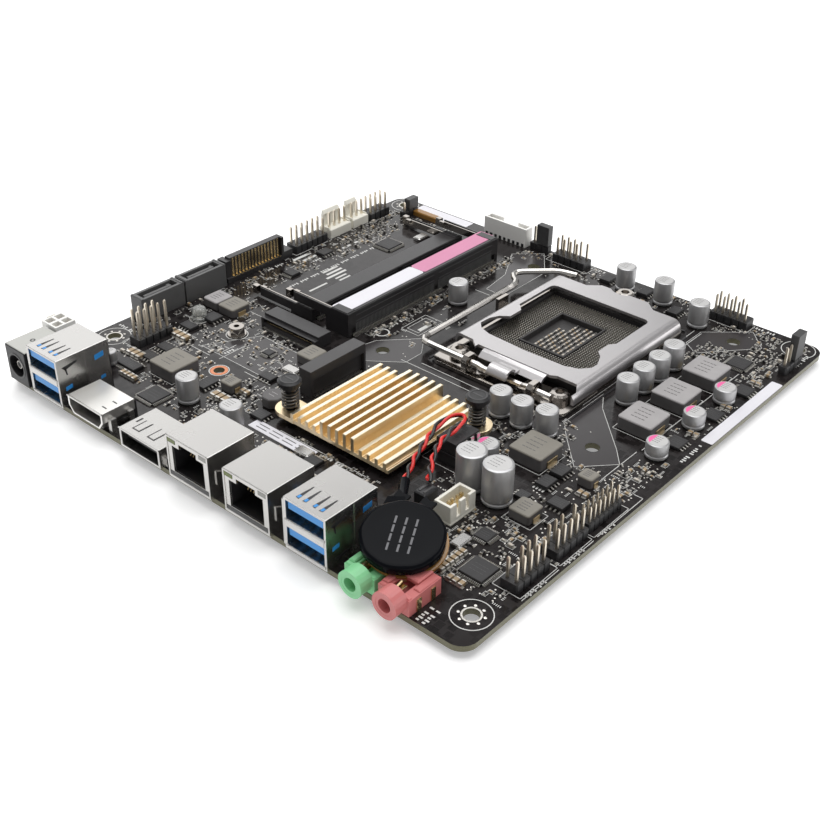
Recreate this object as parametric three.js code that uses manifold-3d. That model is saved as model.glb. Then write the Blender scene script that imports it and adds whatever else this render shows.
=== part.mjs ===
// A small-form-factor computer motherboard, 170 mm square, as an assembly of its separate pieces.
// Millimetres, +Z up. The origin is the centre of the bare board's underside, +X runs along the
// rear connector edge, from the power jack to the audio jacks, and -Y points out of that edge.
import * as THREE from "three";
import { mergeVertices } from "three/addons/utils/BufferGeometryUtils.js";
import Module from "manifold-3d";

const wasm = await Module();
wasm.setup();

// ---------------------------------------------------------------- driving dimensions

const BOARD = { side: 170, thick: 1.6, corner: 4.5 };
const MOUNT_HOLE = { r: 1.98, at: [[78.74, -74.93], [78.74, 80.01], [-78.74, -52.07], [-78.74, 80.01]] };
const COOLER_HOLE = { r: 2, spacing: 75, x: 24.5, y: 33.6 };
const CARD_HOLE = { r: 1.6, x: -40.3, y: -44 }; // where a short wireless card is screwed down

// Processor socket: x and y are the middle of the hinge line's bolt triangle.
const SOCKET = { x: 24.6, hingeY: 3.9, hingeZ: 3.6, wire: 1, crank: 0.9 };
const SOCKET_BOLT = { dx: 18, y: 8, farY: 68.3, shank: 1.5, hole: 1.9, head: 2.9 };
const PLATE = { x0: 1.8, x1: 48.6, y0: 11, y1: 62, top: 6, sheet: 0.9, skirt: 2.4, lip: 2.8 };

// Memory slots: two right-angle slots of different height, the tall one behind the low one.
const DIMM = { midY: 30.8, halfLength: 36.3, cardHalf: 34.8, depth: 7.2, reach: 16.2 };
const LOW_SLOT = { frontX: -41, height: 4 };
const TALL_SLOT = { frontX: -25.6, height: 8 };
const LATCH = { sheet: 0.4, length: 17, high: 2.4, grip: 0.6, clear: 0.05 };

// Chipset heatsink and its two sprung push pins.
const SINK = { x: 14.4, y: -33.6, wide: 36, deep: 35.4, z0: 2.4, base: 1.2, pitch: 2.78, fin: 1.1 };
const FINS = { low: 1.6, tall: 4, rows: ["low", "low", "low", "low", "tall", "tall", "tall", "tall", "tall",
  "low", "low", "low", "low"] };
const PIN = { dx: 21.2, dy: 13.7, shaft: 1.3, hole: 1.7, head: 3.3, neck: 2.2, seat: 9.8, top: 12.7 };
const SPRING = { coil: 2.15, wire: 0.32, turns: 5.5 };

const FRONT_Y = -86.2; // the rear connectors stand 1.2 mm past the board's edge
const USB = { wide: 13.6, deep: 17, high: 15, wall: 0.7, mouthHigh: 5.3, mouthDeep: 12.5 };
const LAN = { wide: 15.8, deep: 15.2, high: 13 };
const HEADER_BODY = 2.5;
const PEG = { r: 0.7, hole: 1, below: 2.1 }; // locating pegs, and how far they reach under the board

// Where the through-hole parts put their pegs, in the board's frame.
const PEGS = {
  dc_jack: [[-79.6, -78], [-73.9, -75.5]],
  usb_stack_left: [[-68.6, -72], [-57.8, -72]],
  usb_stack_right: [[33.2, -72], [44, -72]],
  lan_port_left: [[-8.2, -74], [3.4, -74]],
  lan_port_right: [[12.8, -74], [24.4, -74]],
  audio_jack_pink: [[62.4, -76], [68, -76]],
  audio_jack_green: [[52, -76], [57.6, -76]],
  sata_power: [[-81.4, -5.2], [-81.4, 20.4]],
  display_connector: [[-40.4, 82.3], [-25, 82.3]],
  panel_header: [[50, 82], [60, 82]],
};

// ---------------------------------------------------------------- materials

const finish = (color, roughness, metalness = 0) =>
  new THREE.MeshStandardMaterial({ color, roughness, metalness });
const LACQUER = finish(0x2b2829, 0.35);
const NICKEL = finish(0xcfcac2, 0.22, 1);
const SATIN_STEEL = finish(0xd2cfcf, 0.38, 1);
const TIN = finish(0xcccac8, 0.35, 1);
const GOLD_ANODISED = finish(0xd8b25a, 0.35, 1);
const BLACK_PLASTIC = finish(0x1c1b1d, 0.5);
const GREY_PLASTIC = finish(0x474848, 0.55);
const IVORY_PLASTIC = finish(0xe9e7d8, 0.5);
const GREEN_PLASTIC = finish(0x86cd8f, 0.5);
const PINK_PLASTIC = finish(0xdc7d80, 0.5);
const SHRINK_SLEEVE = finish(0x0c0d10, 0.18);
const SPRING_WIRE = finish(0x3a3836, 0.35, 1);
const RED_LEAD = finish(0xd8201c, 0.4);
const CHIP = finish(0x2c2b2d, 0.6);

// ---------------------------------------------------------------- solid helpers

// A closed three.js geometry as a solid that can be cut and joined.
function solidOf(geometry) {
  geometry.deleteAttribute("normal");
  geometry.deleteAttribute("uv");
  const merged = mergeVertices(geometry, 1e-4);
  return new wasm.Manifold(
    new wasm.Mesh({
      numProp: 3,
      vertProperties: merged.attributes.position.array,
      triVerts: new Uint32Array(merged.index.array),
    }),
  );
}

const join = (solids) => solids.reduce((sum, part) => sum.add(part));
const cut = (solid, tools) => tools.reduce((left, tool) => left.subtract(tool), solid);

function block(x0, x1, y0, y1, z0, z1) {
  const g = new THREE.BoxGeometry(x1 - x0, y1 - y0, z1 - z0);
  return solidOf(g.translate((x0 + x1) / 2, (y0 + y1) / 2, (z0 + z1) / 2));
}

// An upright round bar, or a cone frustum when the top radius differs.
function rod(x, y, z0, z1, r, sides = 20, rTop = r) {
  const g = new THREE.CylinderGeometry(rTop, r, z1 - z0, sides).rotateX(Math.PI / 2);
  return solidOf(g.translate(x, y, (z0 + z1) / 2));
}

const barAlongX = (x0, x1, y, z, r, sides = 16) =>
  solidOf(new THREE.CylinderGeometry(r, r, x1 - x0, sides).rotateZ(Math.PI / 2).translate((x0 + x1) / 2, y, z));

const barAlongY = (x, y0, y1, z, r, sides = 20) =>
  solidOf(new THREE.CylinderGeometry(r, r, y1 - y0, sides).translate(x, (y0 + y1) / 2, z));

function shapeOf(points) {
  return new THREE.Shape(points.map(([x, y]) => new THREE.Vector2(x, y)));
}

function roundedShape(x0, x1, y0, y1, r) {
  const s = new THREE.Shape();
  s.absarc(x1 - r, y1 - r, r, 0, Math.PI / 2);
  s.absarc(x0 + r, y1 - r, r, Math.PI / 2, Math.PI);
  s.absarc(x0 + r, y0 + r, r, Math.PI, 1.5 * Math.PI);
  s.absarc(x1 - r, y0 + r, r, 1.5 * Math.PI, 2 * Math.PI);
  s.closePath();
  return s;
}

const extrude = (shape, depth, curveSegments = 6) =>
  new THREE.ExtrudeGeometry(shape, { depth, bevelEnabled: false, curveSegments });

const prism = (shape, z0, z1, curveSegments) => solidOf(extrude(shape, z1 - z0, curveSegments).translate(0, 0, z0));

// A profile drawn in x and z, run from y0 to y1.
const prismAlongY = (shape, y0, y1, curveSegments) =>
  solidOf(extrude(shape, y1 - y0, curveSegments).rotateX(Math.PI / 2).translate(0, y1, 0));

// A profile drawn in y and z, run from x0 to x1.
const ALONG_X = new THREE.Matrix4().makeBasis(
  new THREE.Vector3(0, 1, 0), new THREE.Vector3(0, 0, 1), new THREE.Vector3(1, 0, 0));
const prismAlongX = (shape, x0, x1, curveSegments) =>
  solidOf(extrude(shape, x1 - x0, curveSegments).applyMatrix4(ALONG_X).translate(x0, 0, 0));

// A round wire along a curve.
function wire(curve, r, steps, sides) {
  const section = new THREE.Shape(
    Array.from({ length: sides }, (_, i) => {
      const a = (2 * Math.PI * i) / sides;
      return new THREE.Vector2(r * Math.cos(a), r * Math.sin(a));
    }),
  );
  return solidOf(new THREE.ExtrudeGeometry(section, { steps, extrudePath: curve }));
}

const points3 = (list) => list.map((p) => new THREE.Vector3(...p));

// ---------------------------------------------------------------- assembly helpers

const board = new THREE.Group();
board.name = "motherboard";
const top = new THREE.Group(); // everything that stands on the board's upper face
top.position.z = BOARD.thick;
board.add(top);

function place(group, name, solid, material) {
  const { vertProperties, triVerts } = solid.getMesh();
  const g = new THREE.BufferGeometry();
  g.setAttribute("position", new THREE.BufferAttribute(vertProperties, 3));
  g.setIndex(new THREE.BufferAttribute(triVerts, 1));
  g.computeVertexNormals();
  const mesh = new THREE.Mesh(g, material);
  mesh.name = name;
  group.add(mesh);
}

function groupAt(x, y, z = 0) {
  const g = new THREE.Group();
  g.position.set(x, y, z);
  top.add(g);
  return g;
}

// The pegs of a through-hole part, reaching down through the board.
const pegsOf = (name) =>
  PEGS[name].map(([x, y]) => rod(x, y, -BOARD.thick - PEG.below, 1, PEG.r, 6));

// ---------------------------------------------------------------- bare board

function bareBoard() {
  const half = BOARD.side / 2;
  const slab = prism(roundedShape(-half, half, -half, half, BOARD.corner), 0, BOARD.thick);
  const through = (x, y, r, sides) => rod(x, y, -1, BOARD.thick + 1, r, sides);
  const reach = COOLER_HOLE.spacing / 2;
  const holes = MOUNT_HOLE.at.map(([x, y]) => through(x, y, MOUNT_HOLE.r, 24));
  for (const sx of [-1, 1])
    for (const sy of [-1, 1])
      holes.push(through(COOLER_HOLE.x + sx * reach, COOLER_HOLE.y + sy * reach, COOLER_HOLE.r, 24));
  for (const side of [-1, 1]) {
    holes.push(through(SOCKET.x + side * SOCKET_BOLT.dx, SOCKET_BOLT.y, SOCKET_BOLT.hole, 16));
    holes.push(through(SINK.x + side * PIN.dx, SINK.y + side * PIN.dy, PIN.hole, 16));
  }
  holes.push(through(SOCKET.x, SOCKET_BOLT.farY, SOCKET_BOLT.hole, 16));
  holes.push(through(CARD_HOLE.x, CARD_HOLE.y, CARD_HOLE.r, 16));
  for (const places of Object.values(PEGS))
    for (const [x, y] of places) holes.push(through(x, y, PEG.hole, 8));
  place(board, "pcb", cut(slab, holes), LACQUER);
}

// ---------------------------------------------------------------- processor socket

function socketBackplate() {
  const outline = [[2, 1.5], [48, 1.5], [48, 16], [40, 42], [33, 73], [17, 73], [10, 42], [2, 16]];
  const bolts = [-1, 1].map((s) => rod(SOCKET.x + s * SOCKET_BOLT.dx, SOCKET_BOLT.y, -3, 1, 1.8, 16));
  bolts.push(rod(SOCKET.x, SOCKET_BOLT.farY, -3, 1, 1.8, 16));
  const window = block(SOCKET.x - 7.5, SOCKET.x + 7.5, 26, 42, -3, 1);
  const plate = cut(prism(shapeOf(outline), -PEG.below, 0), [...bolts, window]);
  place(board, "socket_backplate", plate, SATIN_STEEL);
}

// The stamped frame that the socket body sits in, with the two ears that hold the lever's crossbar
// and the catch that the lever's arm clips on to.
function socketFrame() {
  const sheet = prism(roundedShape(1.4, 48.4, 0.8, 65.4, 3), 0.2, 1.4);
  const tab = block(19, 31, 60, 72.5, 0.2, 1.4);
  const body = block(4.3, 45.5, 13.4, 59.6, 0, 3);
  const tongueRoom = block(20.5, 30.3, 1.6, 12, 0, 3);
  const shanks = [-1, 1].map((s) => rod(SOCKET.x + s * SOCKET_BOLT.dx, SOCKET_BOLT.y, -1, 3, SOCKET_BOLT.hole, 16));
  shanks.push(rod(SOCKET.x, SOCKET_BOLT.farY, -1, 3, SOCKET_BOLT.hole, 16));
  const ears = [[12.6, 14.4], [35.6, 37.4]].map(([x0, x1]) =>
    cut(
      prismAlongX(shapeOf([[1.4, 1.2], [6.6, 1.2], [6.6, 4.4], [5.4, 5.9], [2.6, 5.9], [1.4, 4.8]]), x0, x1),
      [barAlongX(x0 - 1, x1 + 1, SOCKET.hingeY, SOCKET.hingeZ, SOCKET.wire + 0.35)],
    ),
  );
  // The catch stands between the arm and the plate.
  const hook = join([
    block(-3.4, 2, 38, 43, 0.2, 1.4),
    block(-3.4, -2.2, 38, 43, 1.2, 4.4),
  ]);
  place(top, "socket_frame", cut(join([sheet, tab, hook, ...ears]), [body, tongueRoom, ...shanks]), NICKEL);
}

function socketBody() {
  const shell = prism(roundedShape(4.7, 45.1, 13.8, 59.2, 2), 0, 3.4);
  const well = prism(roundedShape(6.3, 43.5, 16.6, 56.4, 1), 2.2, 5);
  const recess = block(16.3, 31.2, 25.4, 46.2, 1.1, 4);
  place(top, "socket_body", cut(shell, [well, recess]), CHIP);
}

// The load plate: a sheet with rolled side edges, a window over the contacts, two pressing tabs,
// a nose by the shoulder screw, and a tongue that curls round the lever's crank.
function loadPlate() {
  const { x0, x1, y0, y1, top: z1, sheet, skirt, lip } = PLATE;
  const profile = new THREE.Shape();
  profile.moveTo(x0, skirt);
  profile.absarc(x0 + lip, z1 - lip, lip, Math.PI, Math.PI / 2, true);
  profile.absarc(x1 - lip, z1 - lip, lip, Math.PI / 2, 0, true);
  profile.lineTo(x1, skirt);
  profile.lineTo(x1 - sheet, skirt);
  profile.absarc(x1 - lip, z1 - lip, lip - sheet, 0, Math.PI / 2);
  profile.absarc(x0 + lip, z1 - lip, lip - sheet, Math.PI / 2, Math.PI);
  profile.lineTo(x0 + sheet, skirt);
  profile.closePath();
  const cover = prismAlongY(profile, y0 - 5, y1);
  const nose = prism(
    shapeOf([[14, y1 - 2], [38.6, y1 - 2], [38.6, y1], [34.8, 65.2], [17.8, 65.2], [14, y1]]), z1 - sheet, z1);
  const noseNotch = rod(SOCKET.x, SOCKET_BOLT.farY, 0, 9, 4.6, 20);
  // The window narrows half way along, where a pressing tab stands in from each side.
  const window = join([
    prism(roundedShape(6, 41.7, 33, 55.4, 2), 0, 9),
    prism(shapeOf([[8.6, 40], [8.6, 29.6], [6, 27.6], [4.6, 24.6], [4.4, 20.6], [6.6, 18.2], [10.4, 16.9],
      [24, 16.2], [37.6, 16.7], [41.6, 18.2], [44, 21], [44.2, 23.6], [42.4, 27.8], [40.2, 30], [40.2, 40]]), 0, 9),
  ]);
  const tabs = [
    prism(shapeOf([[5, 37.4], [6.4, 37.4], [8.6, 35], [8.6, 30.6], [5, 30.6]]), 0, 9),
    prism(shapeOf([[43, 30.6], [40.2, 30.6], [40.2, 35.2], [41.8, 37.4], [43, 37.4]]), 0, 9),
  ];
  const opening = cut(window, tabs);
  // The front corners are cut back round the frame's screws, and a thin rim is left on the right.
  const frontCuts = [
    prism(shapeOf([[x0 - 1, 0], [14.4, 0], [13.6, 5.4], [11.6, 9], [9, 11.2], [x0 - 1, 11.7]]), 0, 9),
    prism(shapeOf([[36.6, 0], [x1 - sheet, 0], [x1 - sheet, 8.4], [46, 11], [39.4, 11], [37, 9.6]]), 0, 9),
    block(12, 38, 0, y0 - 1, 0, 9),
  ];
  // Rolled front edge, and the tongue under and round the crank.
  const frontRoll = prismAlongX(
    shapeOf([[y0, z1], [y0 - 2.4, z1 - 0.7], [y0 - 4, z1 - 1.9], [y0 - 3.5, z1 - 2.5],
      [y0 - 1.9, z1 - 1.5], [y0, z1 - sheet]]),
    14.4, 36.6,
  );
  const curl = new THREE.Shape();
  curl.absarc(SOCKET.hingeY, SOCKET.hingeZ, 2.95, 0.2 * Math.PI, 0.94 * Math.PI);
  curl.absarc(SOCKET.hingeY, SOCKET.hingeZ, 2.15, 0.94 * Math.PI, 0.2 * Math.PI, true);
  curl.closePath();
  const tongue = join([
    prismAlongX(curl, 21.8, 28.6, 8),
    block(21.8, 28.6, SOCKET.hingeY + 1.7, y0 - 2.6, z1 - 1.9, z1 - 1.1),
  ]);
  const plate = cut(join([cover, nose]), [noseNotch, opening, ...frontCuts]);
  place(top, "load_plate", join([plate, frontRoll, tongue]), SATIN_STEEL);
}

// The lever is one bent wire: a crossbar with a cranked middle, a long arm beside the plate,
// a bend out to the finger grip, and a finger end turned in behind the plate.
function loadLever() {
  const { hingeY: y, hingeZ: z, crank } = SOCKET;
  const route = [
    [42.6, y, z], [36, y, z], [34.2, y, z], [32.2, y + 0.4, z - crank * 0.8], [30.6, y + 0.4, z - crank * 0.8],
    [19.6, y + 0.4, z - crank * 0.8], [18, y + 0.4, z - crank * 0.8], [16.2, y, z], [14, y, z],
    [-1.4, y, z], [-4.2, y + 0.5, z], [-5.2, y + 3, z], [-5.2, y + 8, z],
    [-5.2, 46, z + 0.4], [-5, 49.6, z + 0.5], [-6.2, 52, z + 0.6], [-8.8, 54, z + 0.7],
    [-9.8, 56, z + 0.8], [-8.4, 58.6, z + 0.8], [-1.2, 65, z + 1], [1.2, 66.6, z + 1], [6.6, 67.8, z + 1],
  ];
  const curve = new THREE.CatmullRomCurve3(points3(route), false, "catmullrom", 0.18);
  place(top, "load_lever", wire(curve, SOCKET.wire, 60, 8), NICKEL);
}

function socketScrew(name, x, y, headBase, headTop) {
  const shank = rod(x, y, -BOARD.thick - 1.9, headBase + 0.2, SOCKET_BOLT.shank, 12);
  const head = join([
    rod(x, y, headBase, headTop - 0.5, SOCKET_BOLT.head),
    rod(x, y, headTop - 0.5, headTop, SOCKET_BOLT.head, 20, SOCKET_BOLT.head - 0.6),
  ]);
  const recess = rod(x, y, headTop - 1.2, headTop + 1, 1.45, 6);
  place(top, name, cut(join([shank, head]), [recess]), NICKEL);
}

// ---------------------------------------------------------------- memory slots

// One right-angle slot. Its mouth faces -X and its arms reach over the card's place.
function memorySlot(name, { frontX, height }, armBottom) {
  const half = DIMM.halfLength;
  const backX = frontX - DIMM.depth;
  const tipX = backX - DIMM.reach;
  const housing = block(backX, frontX, -half, half, 0, height);
  const mouth = block(backX - 1, backX + 4.4, -DIMM.cardHalf, DIMM.cardHalf, height - 2.6, height - 1.3);
  const contactRow = block(frontX - 0.9, frontX + 1, -half + 1.5, half - 1.5, -1, height * 0.32);
  // Each arm thins towards its tip, which leaves the latch beside it room to spring outwards.
  const arms = [-1, 1].map((side) => {
    const plan = [[backX + 0.5, half], [backX + 0.5, half - 0.9], [tipX, half - 0.35], [tipX, half]];
    const outline = plan.map(([x, y]) => [x, side * y]);
    return prism(shapeOf(side > 0 ? outline : outline.reverse()), armBottom, height - 0.3);
  });
  // Feet under the arms' roots carry them down to the board.
  const feet = [-1, 1].map((side) => {
    const outer = side * half;
    const inner = side * (half - 2.4);
    return block(backX - 2.4, backX + 0.5, Math.min(outer, inner), Math.max(outer, inner), 0, armBottom + 0.2);
  });
  const slot = cut(join([housing, ...arms, ...feet]), [mouth, contactRow]);
  const group = groupAt(0, DIMM.midY);
  place(group, name, slot, BLACK_PLASTIC);
}

// A sprung metal latch beside each arm: a strip, a hook over the card's edge, and a thumb tab.
function memoryLatches(prefix, { frontX, height }) {
  const backX = frontX - DIMM.depth;
  const z1 = height - 0.5;
  const z0 = z1 - LATCH.high;
  const tip = backX - LATCH.length;
  for (const [suffix, side] of [["near", -1], ["far", 1]]) {
    const across = (a, b) => [Math.min(side * a, side * b), Math.max(side * a, side * b)];
    const [s0, s1] = across(DIMM.cardHalf + LATCH.clear, DIMM.cardHalf + LATCH.clear + LATCH.sheet);
    const [h0, h1] = across(DIMM.cardHalf - LATCH.grip, DIMM.cardHalf + 0.2);
    const [t0, t1] = across(DIMM.cardHalf + 0.3, DIMM.halfLength + 0.4);
    const latch = join([
      block(tip, backX - 0.4, s0, s1, z0, z1),
      block(tip, tip + 2, h0, h1, z1 - 1, z1),
      block(tip - 2.2, tip - 0.3, t0, t1, z0, z1 + 0.3),
      block(tip - 2.2, tip + 0.4, s0, s1, z0, z1),
    ]);
    place(groupAt(0, DIMM.midY), `${prefix}_latch_${suffix}`, latch, NICKEL);
  }
}

// ---------------------------------------------------------------- card slots and standoff

function cardSlots() {
  const low = cut(block(-50.8, -27.5, -17.8, -11, 0, 4), [
    block(-49.6, -28.7, -19, -13, 1.5, 2.9),
    block(-52, -26, -19, -16.2, 3.1, 5),
  ]);
  place(top, "m2_slot_wireless", low, BLACK_PLASTIC);
  const tall = cut(block(-14.3, -9.6, -36.8, -14.8, 0, 8.5), [
    block(-15, -11.4, -35.7, -15.9, 5.4, 6.8),
    block(-10.6, -9, -36, -15.6, -1, 5.6),
    block(-15, -13.4, -35.7, -15.9, -1, 4.2),
  ]);
  place(top, "m2_slot_storage", tall, BLACK_PLASTIC);
  const standoff = cut(
    join([rod(-52.3, -26.4, 0, 0.5, 2.9), rod(-52.3, -26.4, 0.4, 2.6, 2.5, 6), rod(-52.3, -26.4, 2.5, 2.9, 2.3)]),
    [rod(-52.3, -26.4, 0.8, 4, 0.9, 12)],
  );
  place(top, "m2_standoff", standoff, NICKEL);
}

// ---------------------------------------------------------------- chipset cooling

function chipsetCooling() {
  const { x, y, wide, deep, z0, base, pitch, fin } = SINK;
  const x0 = x - wide / 2;
  const y0 = y - deep / 2;
  place(top, "chipset", block(x - 11.5, x + 11.5, y - 11, y + 11, 0, z0), CHIP);

  const floor = block(x0, x0 + wide, y0, y0 + deep, z0, z0 + base);
  const rows = FINS.rows.map((kind, i) => {
    const middle = x + (i - (FINS.rows.length - 1) / 2) * pitch;
    return block(middle - fin / 2, middle + fin / 2, y0, y0 + deep, z0 + base - 0.2, z0 + base + FINS[kind]);
  });
  const ears = [-1, 1].map((s) =>
    join([
      rod(x + s * PIN.dx, y + s * PIN.dy, z0, z0 + base, 4.3, 24),
      block(x + s * (wide / 2 - 1) - 1, x + s * (wide / 2 - 1) + 1, y + s * PIN.dy - 4.2, y + s * PIN.dy + 4.2,
        z0, z0 + base),
      block(Math.min(x + s * PIN.dx, x + s * (wide / 2 - 1)), Math.max(x + s * PIN.dx, x + s * (wide / 2 - 1)),
        y + s * PIN.dy - 4.2, y + s * PIN.dy + 4.2, z0, z0 + base),
    ]),
  );
  const holes = [-1, 1].map((s) => rod(x + s * PIN.dx, y + s * PIN.dy, 0, 9, PIN.hole, 16));
  place(top, "heatsink", cut(join([floor, ...rows, ...ears]), holes), GOLD_ANODISED);
}

// A push pin's barbed end is under the board, and its spring lifts its head off the heatsink's ear.
function pushPin(side, suffix) {
  const group = groupAt(SINK.x + side * PIN.dx, SINK.y + side * PIN.dy);
  const barb = -BOARD.thick - 1.8;
  const pin = join([
    rod(0, 0, barb + 0.8, PIN.seat + 0.2, PIN.shaft, 12),
    rod(0, 0, barb, barb + 1, 0.9, 12, 1.45),
    rod(0, 0, PIN.seat, PIN.top - 1.2, PIN.neck, 20),
    rod(0, 0, PIN.top - 1.6, PIN.top - 0.5, PIN.head, 24),
    rod(0, 0, PIN.top - 0.5, PIN.top, PIN.head, 24, PIN.head - 0.7),
  ]);
  place(group, `push_pin_${suffix}`, pin, BLACK_PLASTIC);

  const z0 = SINK.z0 + SINK.base + SPRING.wire + 0.05;
  const z1 = PIN.seat - SPRING.wire - 0.05;
  const steps = SPRING.turns * 10;
  const helix = Array.from({ length: steps + 1 }, (_, i) => {
    const a = (2 * Math.PI * i) / 10;
    return [SPRING.coil * Math.cos(a), SPRING.coil * Math.sin(a), z0 + ((z1 - z0) * i) / steps];
  });
  const coil = new THREE.CatmullRomCurve3(points3(helix));
  place(group, `push_pin_spring_${suffix}`, wire(coil, SPRING.wire, steps, 5), SPRING_WIRE);
}

// ---------------------------------------------------------------- rear connectors

function dcJack() {
  const housing = block(-81.4, -72.3, FRONT_Y, -73, 0, 11);
  const socket = barAlongY(-76.85, FRONT_Y - 1, FRONT_Y + 9.5, 5.6, 3.3, 24);
  const pin = join([
    barAlongY(-76.85, FRONT_Y + 1, FRONT_Y + 10, 5.6, 1, 12),
  ]);
  place(top, "dc_jack", join([cut(housing, [socket]), pin, ...pegsOf("dc_jack")]), BLACK_PLASTIC);
}

// A two-by-two power header standing behind the jack.
function powerHeader() {
  const housing = block(-83.7, -76.7, -72.4, -65.6, 0, 12);
  const pockets = [];
  for (const x of [-81.85, -78.55]) for (const y of [-70.6, -67.4])
    pockets.push(block(x - 1.2, x + 1.2, y - 1.2, y + 1.2, 3, 13));
  place(top, "power_header", cut(housing, pockets), IVORY_PLASTIC);
}

function usbStack(name, x0) {
  const { wide, deep, high, wall, mouthHigh, mouthDeep } = USB;
  const shell = block(x0, x0 + wide, FRONT_Y, FRONT_Y + deep, 0, high);
  const mouths = [1.3, high - wall - mouthHigh].map((z) =>
    block(x0 + wall, x0 + wide - wall, FRONT_Y - 1, FRONT_Y + mouthDeep, z, z + mouthHigh));
  const flange = block(x0 - 0.9, x0 + 0.3, FRONT_Y + 0.3, FRONT_Y + 0.9, 0.6, high - 1.2);
  place(top, name, join([cut(shell, mouths), flange, ...pegsOf(name)]), TIN);
}

function displaySockets() {
  const outside = shapeOf([[-53, 6.2], [-53, 3.2], [-51.2, 0.9], [-39.8, 0.9], [-38, 3.2], [-38, 6.2]]);
  const inside = shapeOf([[-52.4, 5.6], [-52.4, 3.4], [-50.9, 1.4], [-40.1, 1.4], [-38.6, 3.4], [-38.6, 5.6]]);
  const tapered = join([
    cut(prismAlongY(outside, FRONT_Y, -75.4), [prismAlongY(inside, FRONT_Y - 1, -77.4)]),
    block(-50.6, -40.4, FRONT_Y + 1.5, -75.4, 0, 1.1),
  ]);
  place(top, "video_port_left", tapered, TIN);

  const square = cut(block(-30.6, -14.4, FRONT_Y, -74, 0, 5.8), [block(-29.9, -15.1, FRONT_Y - 1, -76.4, 0.7, 5.2)]);
  place(top, "video_port_right", square, TIN);
}

function lanPort(name, x0) {
  const { wide, deep, high } = LAN;
  const y0 = FRONT_Y;
  const shell = block(x0, x0 + wide, y0, y0 + deep, 0, high);
  const mouth = join([
    block(x0 + 2, x0 + wide - 2, y0 - 1, y0 + 12.4, 2.4, 10.2),
    block(x0 + 4.6, x0 + wide - 4.6, y0 - 1, y0 + 12.4, 10, 11.6),
  ]);
  place(top, name, join([cut(shell, [mouth]), ...pegsOf(name)]), TIN);
}

// A 3.5 mm jack: a low body on the board and a round mouth past its edge.
function audioJack(name, x, material) {
  const body = join([
    block(x - 5.2, x + 4, -84.9, -74, 0, 4.6),
    barAlongY(x, -88.6, -84.6, 3.5, 3.5, 24),
  ]);
  const bore = barAlongY(x, -90, -76, 3.5, 1.8, 16);
  const contactWindow = block(x - 2.6, x + 0.4, -83.4, -80.8, 3.4, 6);
  place(top, name, join([cut(body, [bore, contactWindow]), ...pegsOf(name)]), material);
}

// ---------------------------------------------------------------- battery and its lead

// A sleeved coin cell leaning on the audio jacks.
function battery() {
  const cell = new THREE.Group();
  cell.position.set(57.3, -73.7, 10.6);
  const up = new THREE.Vector3(0.14, -0.18, 1).normalize();
  cell.quaternion.setFromUnitVectors(new THREE.Vector3(0, 0, 1), up);
  top.add(cell);
  const disc = join([
    rod(0, 0, -2.6, -0.5, 10, 36),
    rod(0, 0, -0.6, 0, 10, 36, 9.4),
    rod(0, 0, -3.2, -2.5, 9.2, 36, 10),
  ]);
  place(cell, "battery", disc, SHRINK_SLEEVE);
}

// The lead's loop of twisted pair, from the cell's sleeved tail to the plug.
const LEAD_ROUTE = [
  [50.4, -66.8, 8.3], [46.6, -62, 7.2], [42.8, -57.2, 6.4], [39.6, -52.4, 6.4], [37.2, -46.4, 7.4],
  [35.6, -40.6, 8.6], [34.2, -35.6, 9.2], [33.7, -31.2, 9.6], [34.4, -28, 9.7], [36.4, -26.6, 9.7],
  [38.2, -28.4, 9.6], [38.4, -33.2, 9.4], [39, -38.2, 9.2], [40, -41.6, 9], [41.7, -45, 8.3],
  [43.6, -48.2, 7.9], [45, -50.2, 7.8], [46.4, -52, 7.9],
];

function batteryLead() {
  const curve = new THREE.CatmullRomCurve3(points3(LEAD_ROUTE));
  place(top, "battery_lead", wire(curve, 1, 40, 8), RED_LEAD);
  const plug = block(45, 48.6, -56, -51, 0.4, 6.7);
  place(top, "battery_plug", plug, BLACK_PLASTIC);
}

// ---------------------------------------------------------------- firmware chip in its socket

function firmwareChip() {
  place(top, "firmware_socket", join([
    block(34.4, 41.8, -35.7, -25.7, 0, 3.6),
  ]), BLACK_PLASTIC);
  const legs = [];
  for (const x of [34.5, 41.1]) for (let i = 0; i < 4; i += 1) {
    const y = -30.6 + (i - 1.5) * 2.54;
    legs.push(block(x, x + 0.5, y - 0.6, y + 0.6, 3.7, 6.8));
  }
  const package8 = block(34.9, 41.2, -35.5, -25.9, 3.9, 7.3);
  place(top, "firmware_chip", join([package8, ...legs]), CHIP);
}

// ---------------------------------------------------------------- headers and drive ports

// A row of square pins in a moulded strip. "gap" leaves out the keying pin.
function pinHeader(name, { x, y, columns, rows, pitch, turn = 0, pinTop = 8.4, gap = null, material = BLACK_PLASTIC }) {
  const strip = block((-columns * pitch) / 2, (columns * pitch) / 2, (-rows * pitch) / 2, (rows * pitch) / 2,
    0, HEADER_BODY);
  const pins = [];
  for (let c = 0; c < columns; c += 1) for (let r = 0; r < rows; r += 1) {
    if (gap && gap[0] === c && gap[1] === r) continue;
    const px = (c - (columns - 1) / 2) * pitch;
    const py = (r - (rows - 1) / 2) * pitch;
    pins.push(block(px - 0.32, px + 0.32, py - 0.32, py + 0.32, HEADER_BODY - 0.3, pinTop));
  }
  const group = groupAt(x, y);
  group.rotation.z = turn;
  place(group, name, join([strip, ...pins]), material);
}

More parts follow.
